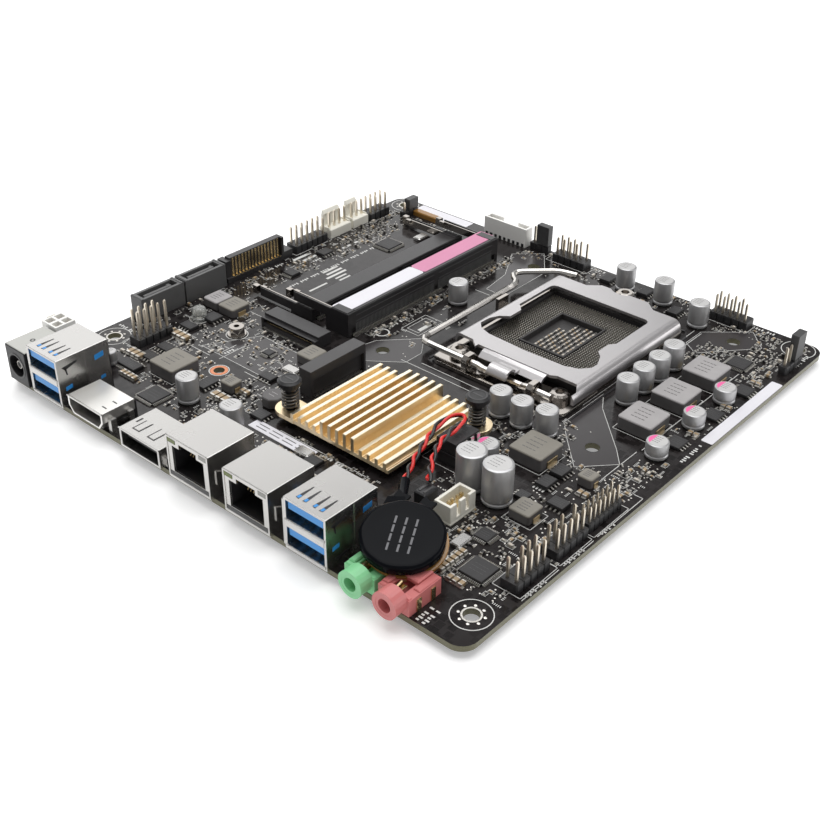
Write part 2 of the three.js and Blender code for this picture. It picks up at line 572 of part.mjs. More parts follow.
function pinHeaders() {
  const quarter = Math.PI / 2;
  pinHeader("serial_header", { x: -69.6, y: -45.1, columns: 5, rows: 2, pitch: 2.54, turn: quarter, pinTop: 11.4,
    gap: [4, 1] });
  pinHeader("debug_header", { x: -81.4, y: 32, columns: 6, rows: 2, pitch: 2.54, turn: quarter });
  pinHeader("backlight_header", { x: -80.9, y: 66, columns: 4, rows: 2, pitch: 2.54, turn: quarter });
  pinHeader("usb_header", { x: -5.3, y: 82, columns: 5, rows: 2, pitch: 2.54, gap: [4, 0] });
  pinHeader("tpm_header", { x: 80, y: -27.4, columns: 7, rows: 2, pitch: 2, turn: quarter, pinTop: 7 });
  pinHeader("microphone_header", { x: 79.8, y: -41.6, columns: 5, rows: 2, pitch: 2.54, turn: quarter,
    gap: [3, 1] });
  pinHeader("front_audio_header", { x: 79.8, y: -57, columns: 5, rows: 2, pitch: 2.54, turn: quarter,
    gap: [1, 1] });
}

// The front panel header also stands on locating pegs.
function panelHeader() {
  const { x, y, pitch } = { x: 55, y: 82, pitch: 2.54 };
  const parts = [block(x - 2.5 * pitch, x + 2.5 * pitch, y - pitch, y + pitch, 0, HEADER_BODY)];
  for (let c = 0; c < 5; c += 1) for (const r of [-0.5, 0.5]) {
    if (c === 4 && r > 0) continue;
    const px = x + (c - 2) * pitch;
    parts.push(block(px - 0.32, px + 0.32, y + r * pitch - 0.32, y + r * pitch + 0.32, HEADER_BODY - 0.3, 8.4));
  }
  place(top, "panel_header", join([...parts, ...pegsOf("panel_header")]), BLACK_PLASTIC);
}

// A jumper cap covers the last two pins of its row. "grip" is the cap's height.
const JUMPERS = [
  { name: "left", x: -71.9, y: 74.3, turn: Math.PI / 2, pinCount: 3, pinTop: 5.8, grip: 3.8 },
  { name: "far", x: -19, y: 83, turn: 0, pinCount: 3, pinTop: 8.4, grip: 7 },
  { name: "right", x: 81.6, y: 68.5, turn: Math.PI / 2, pinCount: 4, pinTop: 8.4, grip: 8 },
];

function jumpers() {
  for (const { name, x, y, turn, pinCount, pinTop, grip } of JUMPERS) {
    pinHeader(`jumper_header_${name}`, { x, y, columns: pinCount, rows: 1, pitch: 2.54, turn, pinTop });
    const group = groupAt(x, y);
    group.rotation.z = turn;
    const lastPin = ((pinCount - 1) / 2) * 2.54;
    const z0 = HEADER_BODY + 0.2;
    const shell = block(lastPin - 3.7, lastPin + 1.2, -1.25, 1.25, z0, z0 + grip);
    const wells = [-2.54, 0].map((step) =>
      block(lastPin + step - 0.65, lastPin + step + 0.65, -0.65, 0.65, 0, pinTop + 0.3));
    place(group, `jumper_cap_${name}`, cut(shell, wells), GREY_PLASTIC);
  }
}

// A fan header: a row of pins in a strip, with a tall locking wall on the board-edge side.
function fanHeader(name, y, pinCount) {
  const half = (pinCount * 2.54) / 2;
  const parts = [
    block(-84.4, -78.6, y - half, y + half, 0, 3.2),
    block(-84.4, -83.4, y - half + 1.2, y + half - 1.2, 3, 8.6),
  ];
  for (let i = 0; i < pinCount; i += 1) {
    const py = y + (i - (pinCount - 1) / 2) * 2.54;
    parts.push(block(-81.1, -80.46, py - 0.32, py + 0.32, 3, 9));
  }
  place(top, name, join(parts), IVORY_PLASTIC);
}

function speakerHeader() {
  const tray = cut(block(50.2, 55.4, -54.4, -44.8, 0, 5.4), [
    block(51, 54.6, -53.6, -45.6, 1.4, 7),
    block(54, 57, -52, -50.6, 1.4, 7),
    block(54, 57, -48.6, -47.2, 1.4, 7),
  ]);
  const pins = [-52, -50.6, -48.6, -47.2].map((y) => block(52.5, 53.1, y - 0.3, y + 0.3, 1, 4.8));
  place(top, "speaker_header", join([tray, ...pins]), IVORY_PLASTIC);
}

function displayConnector() {
  const shell = cut(block(-42, -23.8, 80.6, 84.4, 0, 6.8), [
    block(-41.2, -24.6, 81.3, 83.7, 1.6, 9),
    block(-36, -29.6, 83, 86, 1.6, 9),
  ]);
  const blade = block(-40.4, -25.4, 82.2, 82.8, 1.4, 6);
  place(top, "display_connector", join([shell, blade, ...pegsOf("display_connector")]), IVORY_PLASTIC);
}

// A vertical drive port: a walled well with an L-shaped tongue.
function sataPort(name, y0) {
  const y1 = y0 + 16.6;
  const shell = cut(block(-84, -78.6, y0, y1, 0, 7.8), [block(-83, -79.6, y0 + 1.6, y1 - 1.6, 2.2, 9)]);
  const tongue = join([
    block(-81.9, -80.8, y0 + 3, y1 - 3, 2, 7.2),
    block(-82.6, -80.8, y1 - 4.2, y1 - 3, 2, 7.2),
  ]);
  place(top, name, join([shell, tongue]), GREY_PLASTIC);
}

function sataPower() {
  const parts = [
    block(-84, -78.8, -6.4, 22.4, 0, 1.9),
    block(-83.6, -79.4, -6.4, -4.2, 1.8, 7.8),
    block(-82.2, -79.9, -4.4, 18.4, 1.8, 8.4),
    block(-83.6, -78.8, 18.2, 22.4, 1.8, 2.8),
    block(-82.2, -78.8, 17.6, 18.6, 1.8, 8.4),
  ];
  place(top, "sata_power", join([...parts, ...pegsOf("sata_power")]), BLACK_PLASTIC);
}

// ---------------------------------------------------------------- the assembly

bareBoard();
socketBackplate();
socketFrame();
socketBody();
loadPlate();
loadLever();
socketScrew("socket_screw_left", SOCKET.x - SOCKET_BOLT.dx, SOCKET_BOLT.y, 1.4, 3.6);
socketScrew("socket_screw_right", SOCKET.x + SOCKET_BOLT.dx, SOCKET_BOLT.y, 1.4, 3.6);
socketScrew("shoulder_screw", SOCKET.x, SOCKET_BOLT.farY, 1.4, 4.9);
memorySlot("sodimm_slot_low", LOW_SLOT, 0.8);
memorySlot("sodimm_slot_tall", TALL_SLOT, 4.6);
memoryLatches("sodimm_low", LOW_SLOT);
memoryLatches("sodimm_tall", TALL_SLOT);
cardSlots();
chipsetCooling();
pushPin(-1, "left");
pushPin(1, "right");
dcJack();
powerHeader();
usbStack("usb_stack_left", -70);
usbStack("usb_stack_right", 31.8);
displaySockets();
lanPort("lan_port_left", -10.4);
lanPort("lan_port_right", 10.8);
audioJack("audio_jack_green", 54.9, GREEN_PLASTIC);
audioJack("audio_jack_pink", 65.2, PINK_PLASTIC);
battery();
batteryLead();
firmwareChip();
pinHeaders();
panelHeader();
jumpers();
fanHeader("fan_header_near", 46, 4);
fanHeader("fan_header_far", 56, 3);
speakerHeader();
displayConnector();
sataPort("sata_port_near", -41);
sataPort("sata_port_far", -23.8);
sataPower();

export default board;
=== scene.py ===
"""The looks of a 170 mm square computer motherboard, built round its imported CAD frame.

Lengths are millimetres in the board's own frame: x and y from the middle of the board, and h, a
height above its upper face. Piece.at() turns them into Blender's metres.
"""

import math
import random

import bmesh
import bpy
from mathutils import Matrix, Vector


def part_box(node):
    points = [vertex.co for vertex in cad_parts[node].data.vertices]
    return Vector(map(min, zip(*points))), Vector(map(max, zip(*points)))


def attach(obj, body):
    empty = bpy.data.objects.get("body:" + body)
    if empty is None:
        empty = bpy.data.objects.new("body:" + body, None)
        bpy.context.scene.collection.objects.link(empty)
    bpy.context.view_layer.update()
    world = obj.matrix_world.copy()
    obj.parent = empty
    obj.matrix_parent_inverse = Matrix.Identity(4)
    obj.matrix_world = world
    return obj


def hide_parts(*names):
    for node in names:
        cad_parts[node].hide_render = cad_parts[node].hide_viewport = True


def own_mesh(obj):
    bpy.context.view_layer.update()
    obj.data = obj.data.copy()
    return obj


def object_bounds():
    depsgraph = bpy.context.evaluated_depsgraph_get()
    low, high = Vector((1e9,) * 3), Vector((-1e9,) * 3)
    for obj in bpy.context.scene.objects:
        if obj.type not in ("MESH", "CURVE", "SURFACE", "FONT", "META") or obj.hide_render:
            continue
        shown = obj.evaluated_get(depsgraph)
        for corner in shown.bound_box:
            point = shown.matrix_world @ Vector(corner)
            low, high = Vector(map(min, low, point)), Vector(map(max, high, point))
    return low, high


MM = 0.001
DECK = 1.6  # the board's upper face, above its underside
FRONT_Y = -86.2  # the rear connectors' mouths
SHARP = math.radians(32)
PRINT = 0.03  # thickness of ink on the board

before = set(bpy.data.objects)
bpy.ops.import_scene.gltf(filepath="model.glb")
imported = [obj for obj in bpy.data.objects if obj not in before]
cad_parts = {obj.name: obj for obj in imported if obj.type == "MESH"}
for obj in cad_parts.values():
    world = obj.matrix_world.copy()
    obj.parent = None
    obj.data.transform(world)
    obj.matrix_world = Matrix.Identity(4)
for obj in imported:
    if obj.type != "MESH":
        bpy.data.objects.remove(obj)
cad_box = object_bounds()
rng = random.Random(7)


# ------ camera and light

AMBIENT = 0.32  # glow of the white studio round the board and of its floor
CAMERA = {
    "at": (199.12, -233.33, 184.81),
    "azimuth": 41.126,
    "elevation": 33.275,
    "roll": 0.561,
    "lens": 53.149,
}


def add_object(name, data):
    thing = bpy.data.objects.new(name, data)
    bpy.context.scene.collection.objects.link(thing)
    return thing


def make_camera():
    azimuth = math.radians(CAMERA["azimuth"])
    elevation = math.radians(CAMERA["elevation"])
    roll = math.radians(CAMERA["roll"])
    back = Vector(
        (
            math.sin(azimuth) * math.cos(elevation),
            -math.cos(azimuth) * math.cos(elevation),
            math.sin(elevation),
        )
    )
    right = Vector((math.cos(azimuth), math.sin(azimuth), 0))
    up = back.cross(right)
    x_axis = right * math.cos(roll) + up * math.sin(roll)
    y_axis = up * math.cos(roll) - right * math.sin(roll)
    turn = Matrix((x_axis, y_axis, back)).transposed().to_4x4()
    data = bpy.data.cameras.new("camera")
    data.lens = CAMERA["lens"]
    data.sensor_width = 36
    data.clip_start = 0.01
    data.clip_end = 20
    camera = add_object("camera", data)
    camera.matrix_world = Matrix.Translation(Vector(CAMERA["at"]) * MM) @ turn
    bpy.context.scene.camera = camera


def softbox(name, at, aim, width, height, power):
    data = bpy.data.lights.new(name, "AREA")
    data.shape = "RECTANGLE"
    data.size = width
    data.size_y = height
    data.energy = power
    light = add_object(name, data)
    light.location = at
    light.rotation_euler = (Vector(aim) - Vector(at)).to_track_quat("-Z", "Y").to_euler()
    light.visible_camera = False


def make_light():
    world = bpy.data.worlds.new("studio")
    world.use_nodes = True
    fill(world.node_tree.nodes["Background"], Color=(1, 1, 1, 1), Strength=AMBIENT)
    bpy.context.scene.world = world
    bpy.context.scene.view_settings.view_transform = "Standard"
    softbox("overhead", (-0.1, 0.15, 1.2), (0, 0, 0), 1.3, 1.3, 15)
    softbox("backdrop", (-1.08, 0.66, 0.5), (0, 0, 0.05), 1.5, 0.9, 5.0)
    softbox("left_wall", (-1.2, -0.5, 0.5), (0, 0, 0), 1.0, 0.8, 2.2)
    softbox("right_wall", (1.0, 0.8, 0.26), (0, 0, 0), 1.1, 0.5, 3.4)


# ------ materials


def principled(name):
    material = bpy.data.materials.new(name)
    material.use_nodes = True
    tree = material.node_tree
    return material, tree, tree.nodes["Principled BSDF"]


def fill(node, **values):
    """Set a node's sockets, named with underscores for spaces."""
    for name, value in values.items():
        node.inputs[name.replace("_", " ")].default_value = value


def noise(tree, scale, detail=4.0, stretch=(1, 1, 1)):
    """Grain in the board's own space; scale is how many features there are in a metre."""
    coordinates = tree.nodes.new("ShaderNodeTexCoord")
    mapping = tree.nodes.new("ShaderNodeMapping")
    fill(mapping, Scale=stretch)
    texture = tree.nodes.new("ShaderNodeTexNoise")
    fill(texture, Scale=scale, Detail=detail)
    tree.links.new(coordinates.outputs["Object"], mapping.inputs["Vector"])
    tree.links.new(mapping.outputs["Vector"], texture.inputs["Vector"])
    return texture.outputs["Fac"]


def blend_colours(tree, factor, first, second):
    mix = tree.nodes.new("ShaderNodeMix")
    mix.data_type = "RGBA"
    tree.links.new(factor, mix.inputs["Factor"])
    for socket, value in ((mix.inputs[6], first), (mix.inputs[7], second)):
        if isinstance(value, bpy.types.NodeSocket):
            tree.links.new(value, socket)
        else:
            socket.default_value = (*value, 1)
    return mix.outputs[2]


def remap(tree, factor, low, high, low_in=0.3, high_in=0.7):
    node = tree.nodes.new("ShaderNodeMapRange")
    fill(node, From_Min=low_in, From_Max=high_in, To_Min=low, To_Max=high)
    tree.links.new(factor, node.inputs["Value"])
    return node.outputs["Result"]


def add_bump(tree, shader, factor, strength, depth):
    bump = tree.nodes.new("ShaderNodeBump")
    fill(bump, Strength=strength, Distance=depth * MM)
    tree.links.new(factor, bump.inputs["Height"])
    tree.links.new(bump.outputs["Normal"], shader.inputs["Normal"])


def surface(name, colour, rough, metal=0, vary=0.12, grain=900, bump=0.25, depth=0.03,
            stretch=(1, 1, 1), shine=0.5):
    """A material with mottled colour, uneven gloss and a fine grain."""
    material, tree, shader = principled(name)
    wide = noise(tree, grain * 0.12, 3)
    fine = noise(tree, grain, 4, stretch)
    darker = [c * (1 - vary) for c in colour]
    lighter = [min(1, c * (1 + vary)) for c in colour]
    broad = blend_colours(tree, remap(tree, wide, 0, 1), darker, lighter)
    speck = blend_colours(tree, remap(tree, fine, 0, 0.35), broad, lighter)
    tree.links.new(speck, shader.inputs["Base Color"])
    spread = vary * 0.35
    tree.links.new(remap(tree, fine, rough - spread, rough + spread), shader.inputs["Roughness"])
    fill(shader, Specular_IOR_Level=shine, Metallic=metal)
    add_bump(tree, shader, fine, bump, depth)
    return material


def lacquered_board():
    """Near-black solder lacquer over copper tracks, with a glass-fibre edge."""
    material, tree, shader = principled("board_lacquer")
    coordinates = tree.nodes.new("ShaderNodeTexCoord")
    tracks = tree.nodes.new("ShaderNodeTexVoronoi")
    tracks.distance = "CHEBYCHEV"
    tracks.feature = "F1"
    fill(tracks, Scale=420)
    tree.links.new(coordinates.outputs["Object"], tracks.inputs["Vector"])
    lines = remap(tree, tracks.outputs["Distance"], 0, 1, 0.36, 0.46)
    broad = remap(tree, noise(tree, 38, 2), 0, 1, 0.42, 0.58)
    base = blend_colours(tree, broad, (0.008, 0.0065, 0.0065), (0.017, 0.0145, 0.0145))
    lacquer = blend_colours(tree, lines, base, (0.023, 0.020, 0.020))
    geometry = tree.nodes.new("ShaderNodeNewGeometry")
    split = tree.nodes.new("ShaderNodeSeparateXYZ")
    tree.links.new(geometry.outputs["Normal"], split.inputs["Vector"])
    flat = tree.nodes.new("ShaderNodeMath")
    flat.operation = "ABSOLUTE"
    tree.links.new(split.outputs["Z"], flat.inputs[0])
    fibre = remap(tree, noise(tree, 2600, 3, (1, 1, 6)), 0, 1)
    edge = blend_colours(tree, fibre, (0.10, 0.095, 0.055), (0.19, 0.18, 0.11))
    whole = blend_colours(tree, flat.outputs["Value"], edge, lacquer)
    tree.links.new(whole, shader.inputs["Base Color"])
    tree.links.new(remap(tree, noise(tree, 300, 4), 0.12, 0.18), shader.inputs["Roughness"])
    fill(shader, Specular_IOR_Level=0.3)
    add_bump(tree, shader, lines, 0.12, 0.03)
    return material


def clear_plastic():
    """The slightly cloudy plastic of a lens."""
    material, tree, shader = principled("clear_plastic")
    fill(shader, Transmission_Weight=0.75, IOR=1.46)
    haze = noise(tree, 700, 3)
    tint = blend_colours(tree, haze, (0.82, 0.84, 0.80), (0.95, 0.96, 0.93))
    tree.links.new(tint, shader.inputs["Base Color"])
    tree.links.new(remap(tree, haze, 0.12, 0.3), shader.inputs["Roughness"])
    return material


LACQUER = lacquered_board()
# Name, colour, roughness, metal, variation, grain, bump and its depth.
MASK_ZONE = surface("smooth_lacquer", (0.044, 0.040, 0.041), 0.18, 0, 0.04, 300, 0.03, shine=0.42)
INK = surface("white_ink", (0.62, 0.62, 0.60), 0.6, 0, 0.1, 2500, 0.3)
SOLDER = surface("solder", (0.62, 0.60, 0.56), 0.3, 1, 0.12, 1500, 0.25, 0.06)
GOLD = surface("gold_plate", (0.80, 0.62, 0.34), 0.24, 1, 0.05, 900, 0.05)
PIN_PLATE = surface("pin_plating", (0.74, 0.67, 0.56), 0.3, 1, 0.02, 200, 0.01)
CONTACT = surface("socket_contact", (0.52, 0.49, 0.44), 0.28, 1, 0.05, 400, 0.03)
BRASS = surface("brass_terminal", (0.62, 0.48, 0.28), 0.32, 1, 0.12, 2000)
NICKEL = surface("bright_nickel", (0.44, 0.41, 0.38), 0.13, 1, 0.04, 400, 0.06, 0.02)
WIRE_STEEL = surface("wire_steel", (0.62, 0.60, 0.57), 0.2, 1, 0.03, 300, 0.04)
SATIN = surface("satin_steel", (0.55, 0.535, 0.54), 0.33, 0.92, 0.02, 1500, 0.06, 0.01,
                stretch=(1, 0.06, 1))
# The left video socket's shell: the same tinplate as the other shells, painted lighter for the light its roof
# catches.
TIN_PAINTED_HIGHLIGHT = surface("tinplate_painted_highlight", (0.82, 0.81, 0.78), 0.36, 1, 0.015, 160, 0.04)
TIN = surface("tinplate", (0.54, 0.53, 0.515), 0.27, 1, 0.015, 160, 0.04, 0.01)
SINK_GOLD = surface("gold_anodised", (0.92, 0.76, 0.51), 0.32, 1, 0.04, 900, 0.08, stretch=(1, 0.05, 1))
# Painted highlight: the fin tops lit from above, much lighter than the heatsink's own gold.
FIN_TOP_HIGHLIGHT = surface("fin_top_painted_highlight", (0.95, 0.88, 0.72), 0.3, 1, 0.04, 1800, 0.08)
BLACK = surface("black_moulding", (0.014, 0.0135, 0.015), 0.42, 0, 0.2, 1600, 0.12)
SLOT_BLACK = surface("slot_moulding", (0.022, 0.0205, 0.022), 0.33, 0, 0.1, 1300, 0.12)
SLOT_GREY = surface("slot_grey_moulding", (0.042, 0.040, 0.041), 0.36, 0, 0.1, 1300, 0.12)
GREY = surface("grey_moulding", (0.050, 0.050, 0.051), 0.45, 0, 0.12, 1300, 0.12)
DRIVE_GREY = surface("drive_port_moulding", (0.098, 0.098, 0.098), 0.45, 0, 0.06, 900, 0.1)
IVORY = surface("ivory_moulding", (0.80, 0.78, 0.70), 0.45, 0, 0.04, 900, 0.1)
MILK = surface("milky_moulding", (0.90, 0.89, 0.86), 0.4, 0, 0.03, 700, 0.1)
STONE = surface("stone_moulding", (0.50, 0.50, 0.47), 0.4, 0, 0.03, 700, 0.1)
GREEN = surface("green_moulding", (0.24, 0.63, 0.31), 0.36, 0, 0.07)
PINK = surface("pink_moulding", (0.58, 0.175, 0.17), 0.36, 0, 0.07)
BLUE = surface("blue_moulding", (0.035, 0.27, 0.68), 0.3, 0, 0.06, 600, 0.08)
CHIP = surface("chip_epoxy", (0.022, 0.021, 0.022), 0.5, 0, 0.2, 2600)
SOCKET_GREY = surface("socket_moulding", (0.030, 0.028, 0.028), 0.5, 0, 0.15, 1500, 0.12)
SLEEVE = surface("shrink_sleeve", (0.004, 0.0045, 0.006), 0.13, 0, 0.1, 120, 0.2, 0.12, shine=0.05)
SLEEVE_INK = surface("sleeve_ink", (0.13, 0.13, 0.14), 0.5, 0, 0.1, 1500, 0.05)
SPRING = surface("spring_wire", (0.16, 0.15, 0.14), 0.3, 1, 0.05, 800, 0.1)
CAN = surface("capacitor_can", (0.47, 0.47, 0.475), 0.4, 0.7, 0.015, 600, 0.05, 0.01)
# The cans' tops: the same aluminium as their sides, painted lighter as a highlight from the light above, and
# made less metallic.
CAN_TOP_HIGHLIGHT = surface("capacitor_top_painted_highlight", (0.56, 0.555, 0.55), 0.45, 0.3, 0.02, 900, 0.05)
CAN_INK = surface("capacitor_ink", (0.13, 0.125, 0.125), 0.5, 0, 0.2, 3000)
CAN_PINK = surface("capacitor_pink", (0.84, 0.13, 0.36), 0.45, 0, 0.06, 2000)
RUBBER = surface("capacitor_bung", (0.03, 0.03, 0.03), 0.6, 0, 0.12, 2000)
FERRITE = surface("choke_ferrite", (0.36, 0.345, 0.345), 0.62, 0, 0.06, 2600, 0.15, 0.05)
WARM_FERRITE = surface("warm_ferrite", (0.22, 0.205, 0.175), 0.55, 0, 0.06, 2600, 0.15, 0.05)
# Dark ferrite: the octagonal coil's own colour and the coils' printed dashes, and also painted shade on the
# sides of the other coils.
SHADE_AND_DARK_FERRITE = surface("dark_ferrite_and_painted_shade", (0.105, 0.100, 0.100), 0.55, 0, 0.1, 2600, 0.15, 0.05)
CERAMIC_TAN = surface("tan_ceramic", (0.36, 0.26, 0.15), 0.4, 0, 0.14, 3000)
CERAMIC_DARK = surface("dark_ceramic", (0.022, 0.020, 0.020), 0.4, 0, 0.2, 3000)
CERAMIC_PALE = surface("pale_ceramic", (0.55, 0.50, 0.43), 0.45, 0, 0.12, 3000)
PAPER = surface("white_label", (0.74, 0.73, 0.77), 0.55, 0, 0.015, 1500, 0.1)
PAPER_PINK = surface("pink_label", (0.62, 0.235, 0.38), 0.5, 0, 0.03, 1500, 0.1)
AMBER = surface("amber_tape", (0.30, 0.15, 0.035), 0.2, 0, 0.2, 600)
RED_WIRE = surface("red_insulation", (0.72, 0.022, 0.018), 0.3, 0, 0.06, 900, 0.05)
BLACK_WIRE = surface("black_insulation", (0.016, 0.016, 0.017), 0.3, 0, 0.1, 900, 0.05)
COPPER = surface("copper_ring", (0.55, 0.22, 0.12), 0.25, 1, 0.15, 1200)
LAMP_OLIVE = surface("lamp_olive", (0.10, 0.13, 0.02), 0.2, 0, 0.1, 900, 0.05)
LAMP_GREY = surface("lamp_grey", (0.26, 0.26, 0.24), 0.2, 0, 0.1, 900, 0.05)
CLEAR = clear_plastic()


# ------ building meshes


def rectangle(x0, x1, y0, y1, h, inset=0.0):
    return [
        (x0 + inset, y0 + inset, h),
        (x1 - inset, y0 + inset, h),
        (x1 - inset, y1 - inset, h),
        (x0 + inset, y1 - inset, h),
    ]


def rounded(x0, x1, y0, y1, h, r, inset=0.0, steps=3):
    """A rectangle with arcs for corners."""
    x0, x1, y0, y1 = x0 + inset, x1 - inset, y0 + inset, y1 - inset
    centres = ((x1 - r, y1 - r, 0), (x0 + r, y1 - r, 90), (x0 + r, y0 + r, 180), (x1 - r, y0 + r, 270))
    points = []
    for cx, cy, start in centres:
        for i in range(steps + 1):
            a = math.radians(start + 90 * i / steps)
            points.append((cx + r * math.cos(a), cy + r * math.sin(a), h))
    return points


def circle(x, y, h, r, sides=24):
    turn = 2 * math.pi / sides
    return [(x + r * math.cos(i * turn), y + r * math.sin(i * turn), h) for i in range(sides)]


def placed(x=0, y=0, turn=0):
    """A part's own frame on the board, turned by some degrees."""
    return Matrix.Translation((x, y, 0)) @ Matrix.Rotation(math.radians(turn), 4, "Z")


def facing_out(x, y, h):
    """A frame whose third axis points out of the connector edge, for round mouths."""
    return Matrix.Translation((x, y, h)) @ Matrix.Rotation(math.pi / 2, 4, "X")


class Piece:
    """One mesh under construction, of one or several materials, in a frame of its own."""

    def __init__(self, name, x=0, y=0, turn=0):
        self.name = name
        self.bm = bmesh.new()
        self.materials = []
        self.place = placed(x, y, turn)

    def at(self, point):
        x, y, h = self.place @ Vector(point)
        return Vector((x, y, h + DECK)) * MM

    def skin(self, loops, material, closed=False):
        """A closed surface through rings of points, capped at its ends or joined end to end."""
        if material not in self.materials:
            self.materials.append(material)
        index = self.materials.index(material)
        rings = [[self.bm.verts.new(self.at(p)) for p in loop] for loop in loops]
        faces = []
        if not closed:
            faces = [self.bm.faces.new(rings[0][::-1]), self.bm.faces.new(rings[-1])]
        following = rings[1:] + rings[:1] if closed else rings[1:]
        for lower, upper in zip(rings, following):
            for i, here in enumerate(lower):
                j = (i + 1) % len(lower)
                faces.append(self.bm.faces.new((here, lower[j], upper[j], upper[i])))
        for face in faces:
            face.material_index = index
            face.smooth = True

    def box(self, x0, x1, y0, y1, h0, h1, material, edge=0.12, corner=0.0, foot=False):
        """A block with chamfered top edges, and bottom ones too if it has a foot."""
        x0, x1 = sorted((x0, x1))
        y0, y1 = sorted((y0, y1))

        def ring(h, inset):
            if corner:
                return rounded(x0, x1, y0, y1, h, corner, inset)
            return rectangle(x0, x1, y0, y1, h, inset)
        edge = min(edge, (h1 - h0) * 0.4, (x1 - x0) * 0.4, (y1 - y0) * 0.4)
        start = [ring(h0, edge), ring(h0 + edge, 0)] if foot else [ring(h0, 0)]
        self.skin([*start, ring(h1 - edge, 0), ring(h1, edge)], material)

    def boxes(self, material, edge, *spans):
        """Blocks of one material and chamfer."""
        for span in spans:
            self.box(*span, material, edge)

    def block(self, x, y, w, d, h0, h1, material, edge=0.12, corner=0.0):
        """A box given by its middle and by half its width and depth."""
        self.box(x - w, x + w, y - d, y + d, h0, h1, material, edge, corner)

    def lathe(self, x, y, profile, material, sides=24):
        """A turned body: profile is its radius and height, from the bottom up."""
        self.skin([circle(x, y, h, r, sides) for r, h in profile], material)

    def prism(self, outline, h0, h1, material):
        self.skin([[(x, y, h) for x, y in outline] for h in (h0, h1)], material)

    def ring(self, x, y, inner, outer, h0, h1, material, sides=32):
        section = [(inner, h0), (outer, h0), (outer, h1), (inner, h1)]
        self.skin([circle(x, y, h, r, sides) for r, h in section], material, closed=True)

    def line(self, points, width, material, h=0.0, thick=PRINT):
        """A printed line through some points."""
        for (xa, ya), (xb, yb) in zip(points, points[1:]):
            long = math.hypot(xb - xa, yb - ya) or 1
            dx, dy = (xb - xa) / long * width / 2, (yb - ya) / long * width / 2
            outline = [
                (xa - dx + dy, ya - dy - dx),
                (xb + dx + dy, yb + dy - dx),
                (xb + dx - dy, yb + dy + dx),
                (xa - dx - dy, ya - dy + dx),
            ]
            self.prism(outline, h, h + thick, material)

    def tube(self, points, r, material, sides=10):
        """A round bar along a path."""
        path = [Vector(p) for p in points]
        side = Vector((0, 0, 1))
        loops = []
        for i, here in enumerate(path):
            ahead = (path[min(i + 1, len(path) - 1)] - path[max(i - 1, 0)]).normalized()
            side = (side - ahead * side.dot(ahead)).normalized()
            if side.length < 0.5:
                side = ahead.orthogonal().normalized()
            other = ahead.cross(side)
            turns = [2 * math.pi * k / sides for k in range(sides)]
            loops.append([here + (side * math.cos(a) + other * math.sin(a)) * r for a in turns])
        self.skin(loops, material)

    def build(self, replaces=(), body="board_body"):
        bmesh.ops.recalc_face_normals(self.bm, faces=self.bm.faces[:])
        for edge in self.bm.edges:
            if len(edge.link_faces) == 2 and edge.calc_face_angle() > SHARP:
                edge.smooth = False
        mesh = bpy.data.meshes.new(self.name)
        self.bm.to_mesh(mesh)
        self.bm.free()
        for material in self.materials:
            mesh.materials.append(material)
        thing = add_object(self.name, mesh)
        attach(thing, body)
        if replaces:
            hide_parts(*replaces)
        return thing


# ------ battery lead

LEAD_ROUTE = [
    (50.4, -66.8, 8.3), (46.6, -62, 7.2), (42.8, -57.2, 6.4), (39.6, -52.4, 6.4), (37.2, -46.4, 7.4),
    (35.6, -40.6, 8.6), (34.2, -35.6, 9.2), (33.7, -31.2, 9.6), (34.4, -28, 9.7), (36.4, -26.6, 9.7),
    (38.2, -28.4, 9.6), (38.4, -33.2, 9.4), (39, -38.2, 9.2), (40, -41.6, 9), (41.7, -45, 8.3),
    (43.6, -48.2, 7.9), (45, -50.2, 7.8), (46.4, -52, 7.9),
]
LEAD = {"wire": 0.9, "apart": 0.49, "pitch": 8.0, "start": 2.0, "top_at": 45.0, "calm": 7.5}


def smooth_route(points, steps=8):
    """Points along a Catmull-Rom curve through the given ones."""
    path = [Vector(p) for p in points]
    path = [2 * path[0] - path[1], *path, 2 * path[-1] - path[-2]]
    out = []
    for a, b, c, d in zip(path, path[1:], path[2:], path[3:]):
        for i in range(steps):
            t = i / steps
            out.append(0.5 * (2 * b + (c - a) * t + (2 * a - 5 * b + 4 * c - d) * t**2
                              + (3 * b - a - 3 * c + d) * t**3))
    out.append(path[-2])
    return out


def twisted_strand(side):
    """One wire of the pair, wound round the lead's route; the twist relaxes round the loop's end."""
    path = smooth_route(LEAD_ROUTE)
    strand = []
    along = 0.0
    phase = LEAD["start"] + (0 if side > 0 else math.pi)
    for i, here in enumerate(path):
        ahead = (path[min(i + 1, len(path) - 1)] - path[max(i - 1, 0)]).normalized()
        across = ahead.cross(Vector((0, 0, 1))).normalized()
        over = across.cross(ahead)
        strand.append(here + (across * math.cos(phase) + over * math.sin(phase)) * LEAD["apart"])
        if i + 1 < len(path):
            step = (path[i + 1] - here).length
            along += step
            calm = math.exp(-(((along - LEAD["top_at"]) / LEAD["calm"]) ** 2))
            phase += 2 * math.pi * step / LEAD["pitch"] * (1 - 0.92 * calm)
    return strand


def wire_curve(name, points, material):
    data = bpy.data.curves.new(name, "CURVE")
    data.dimensions = "3D"
    data.bevel_depth = LEAD["wire"] / 2 * MM
    data.bevel_resolution = 3
    data.use_fill_caps = True
    spline = data.splines.new("POLY")
    spline.points.add(len(points) - 1)
    for knot, point in zip(spline.points, points):
        knot.co = (point.x * MM, point.y * MM, (point.z + DECK) * MM, 1)
    spline.use_smooth = True
    data.materials.append(material)
    wire = add_object(name, data)
    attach(wire, "board_body")
    return wire


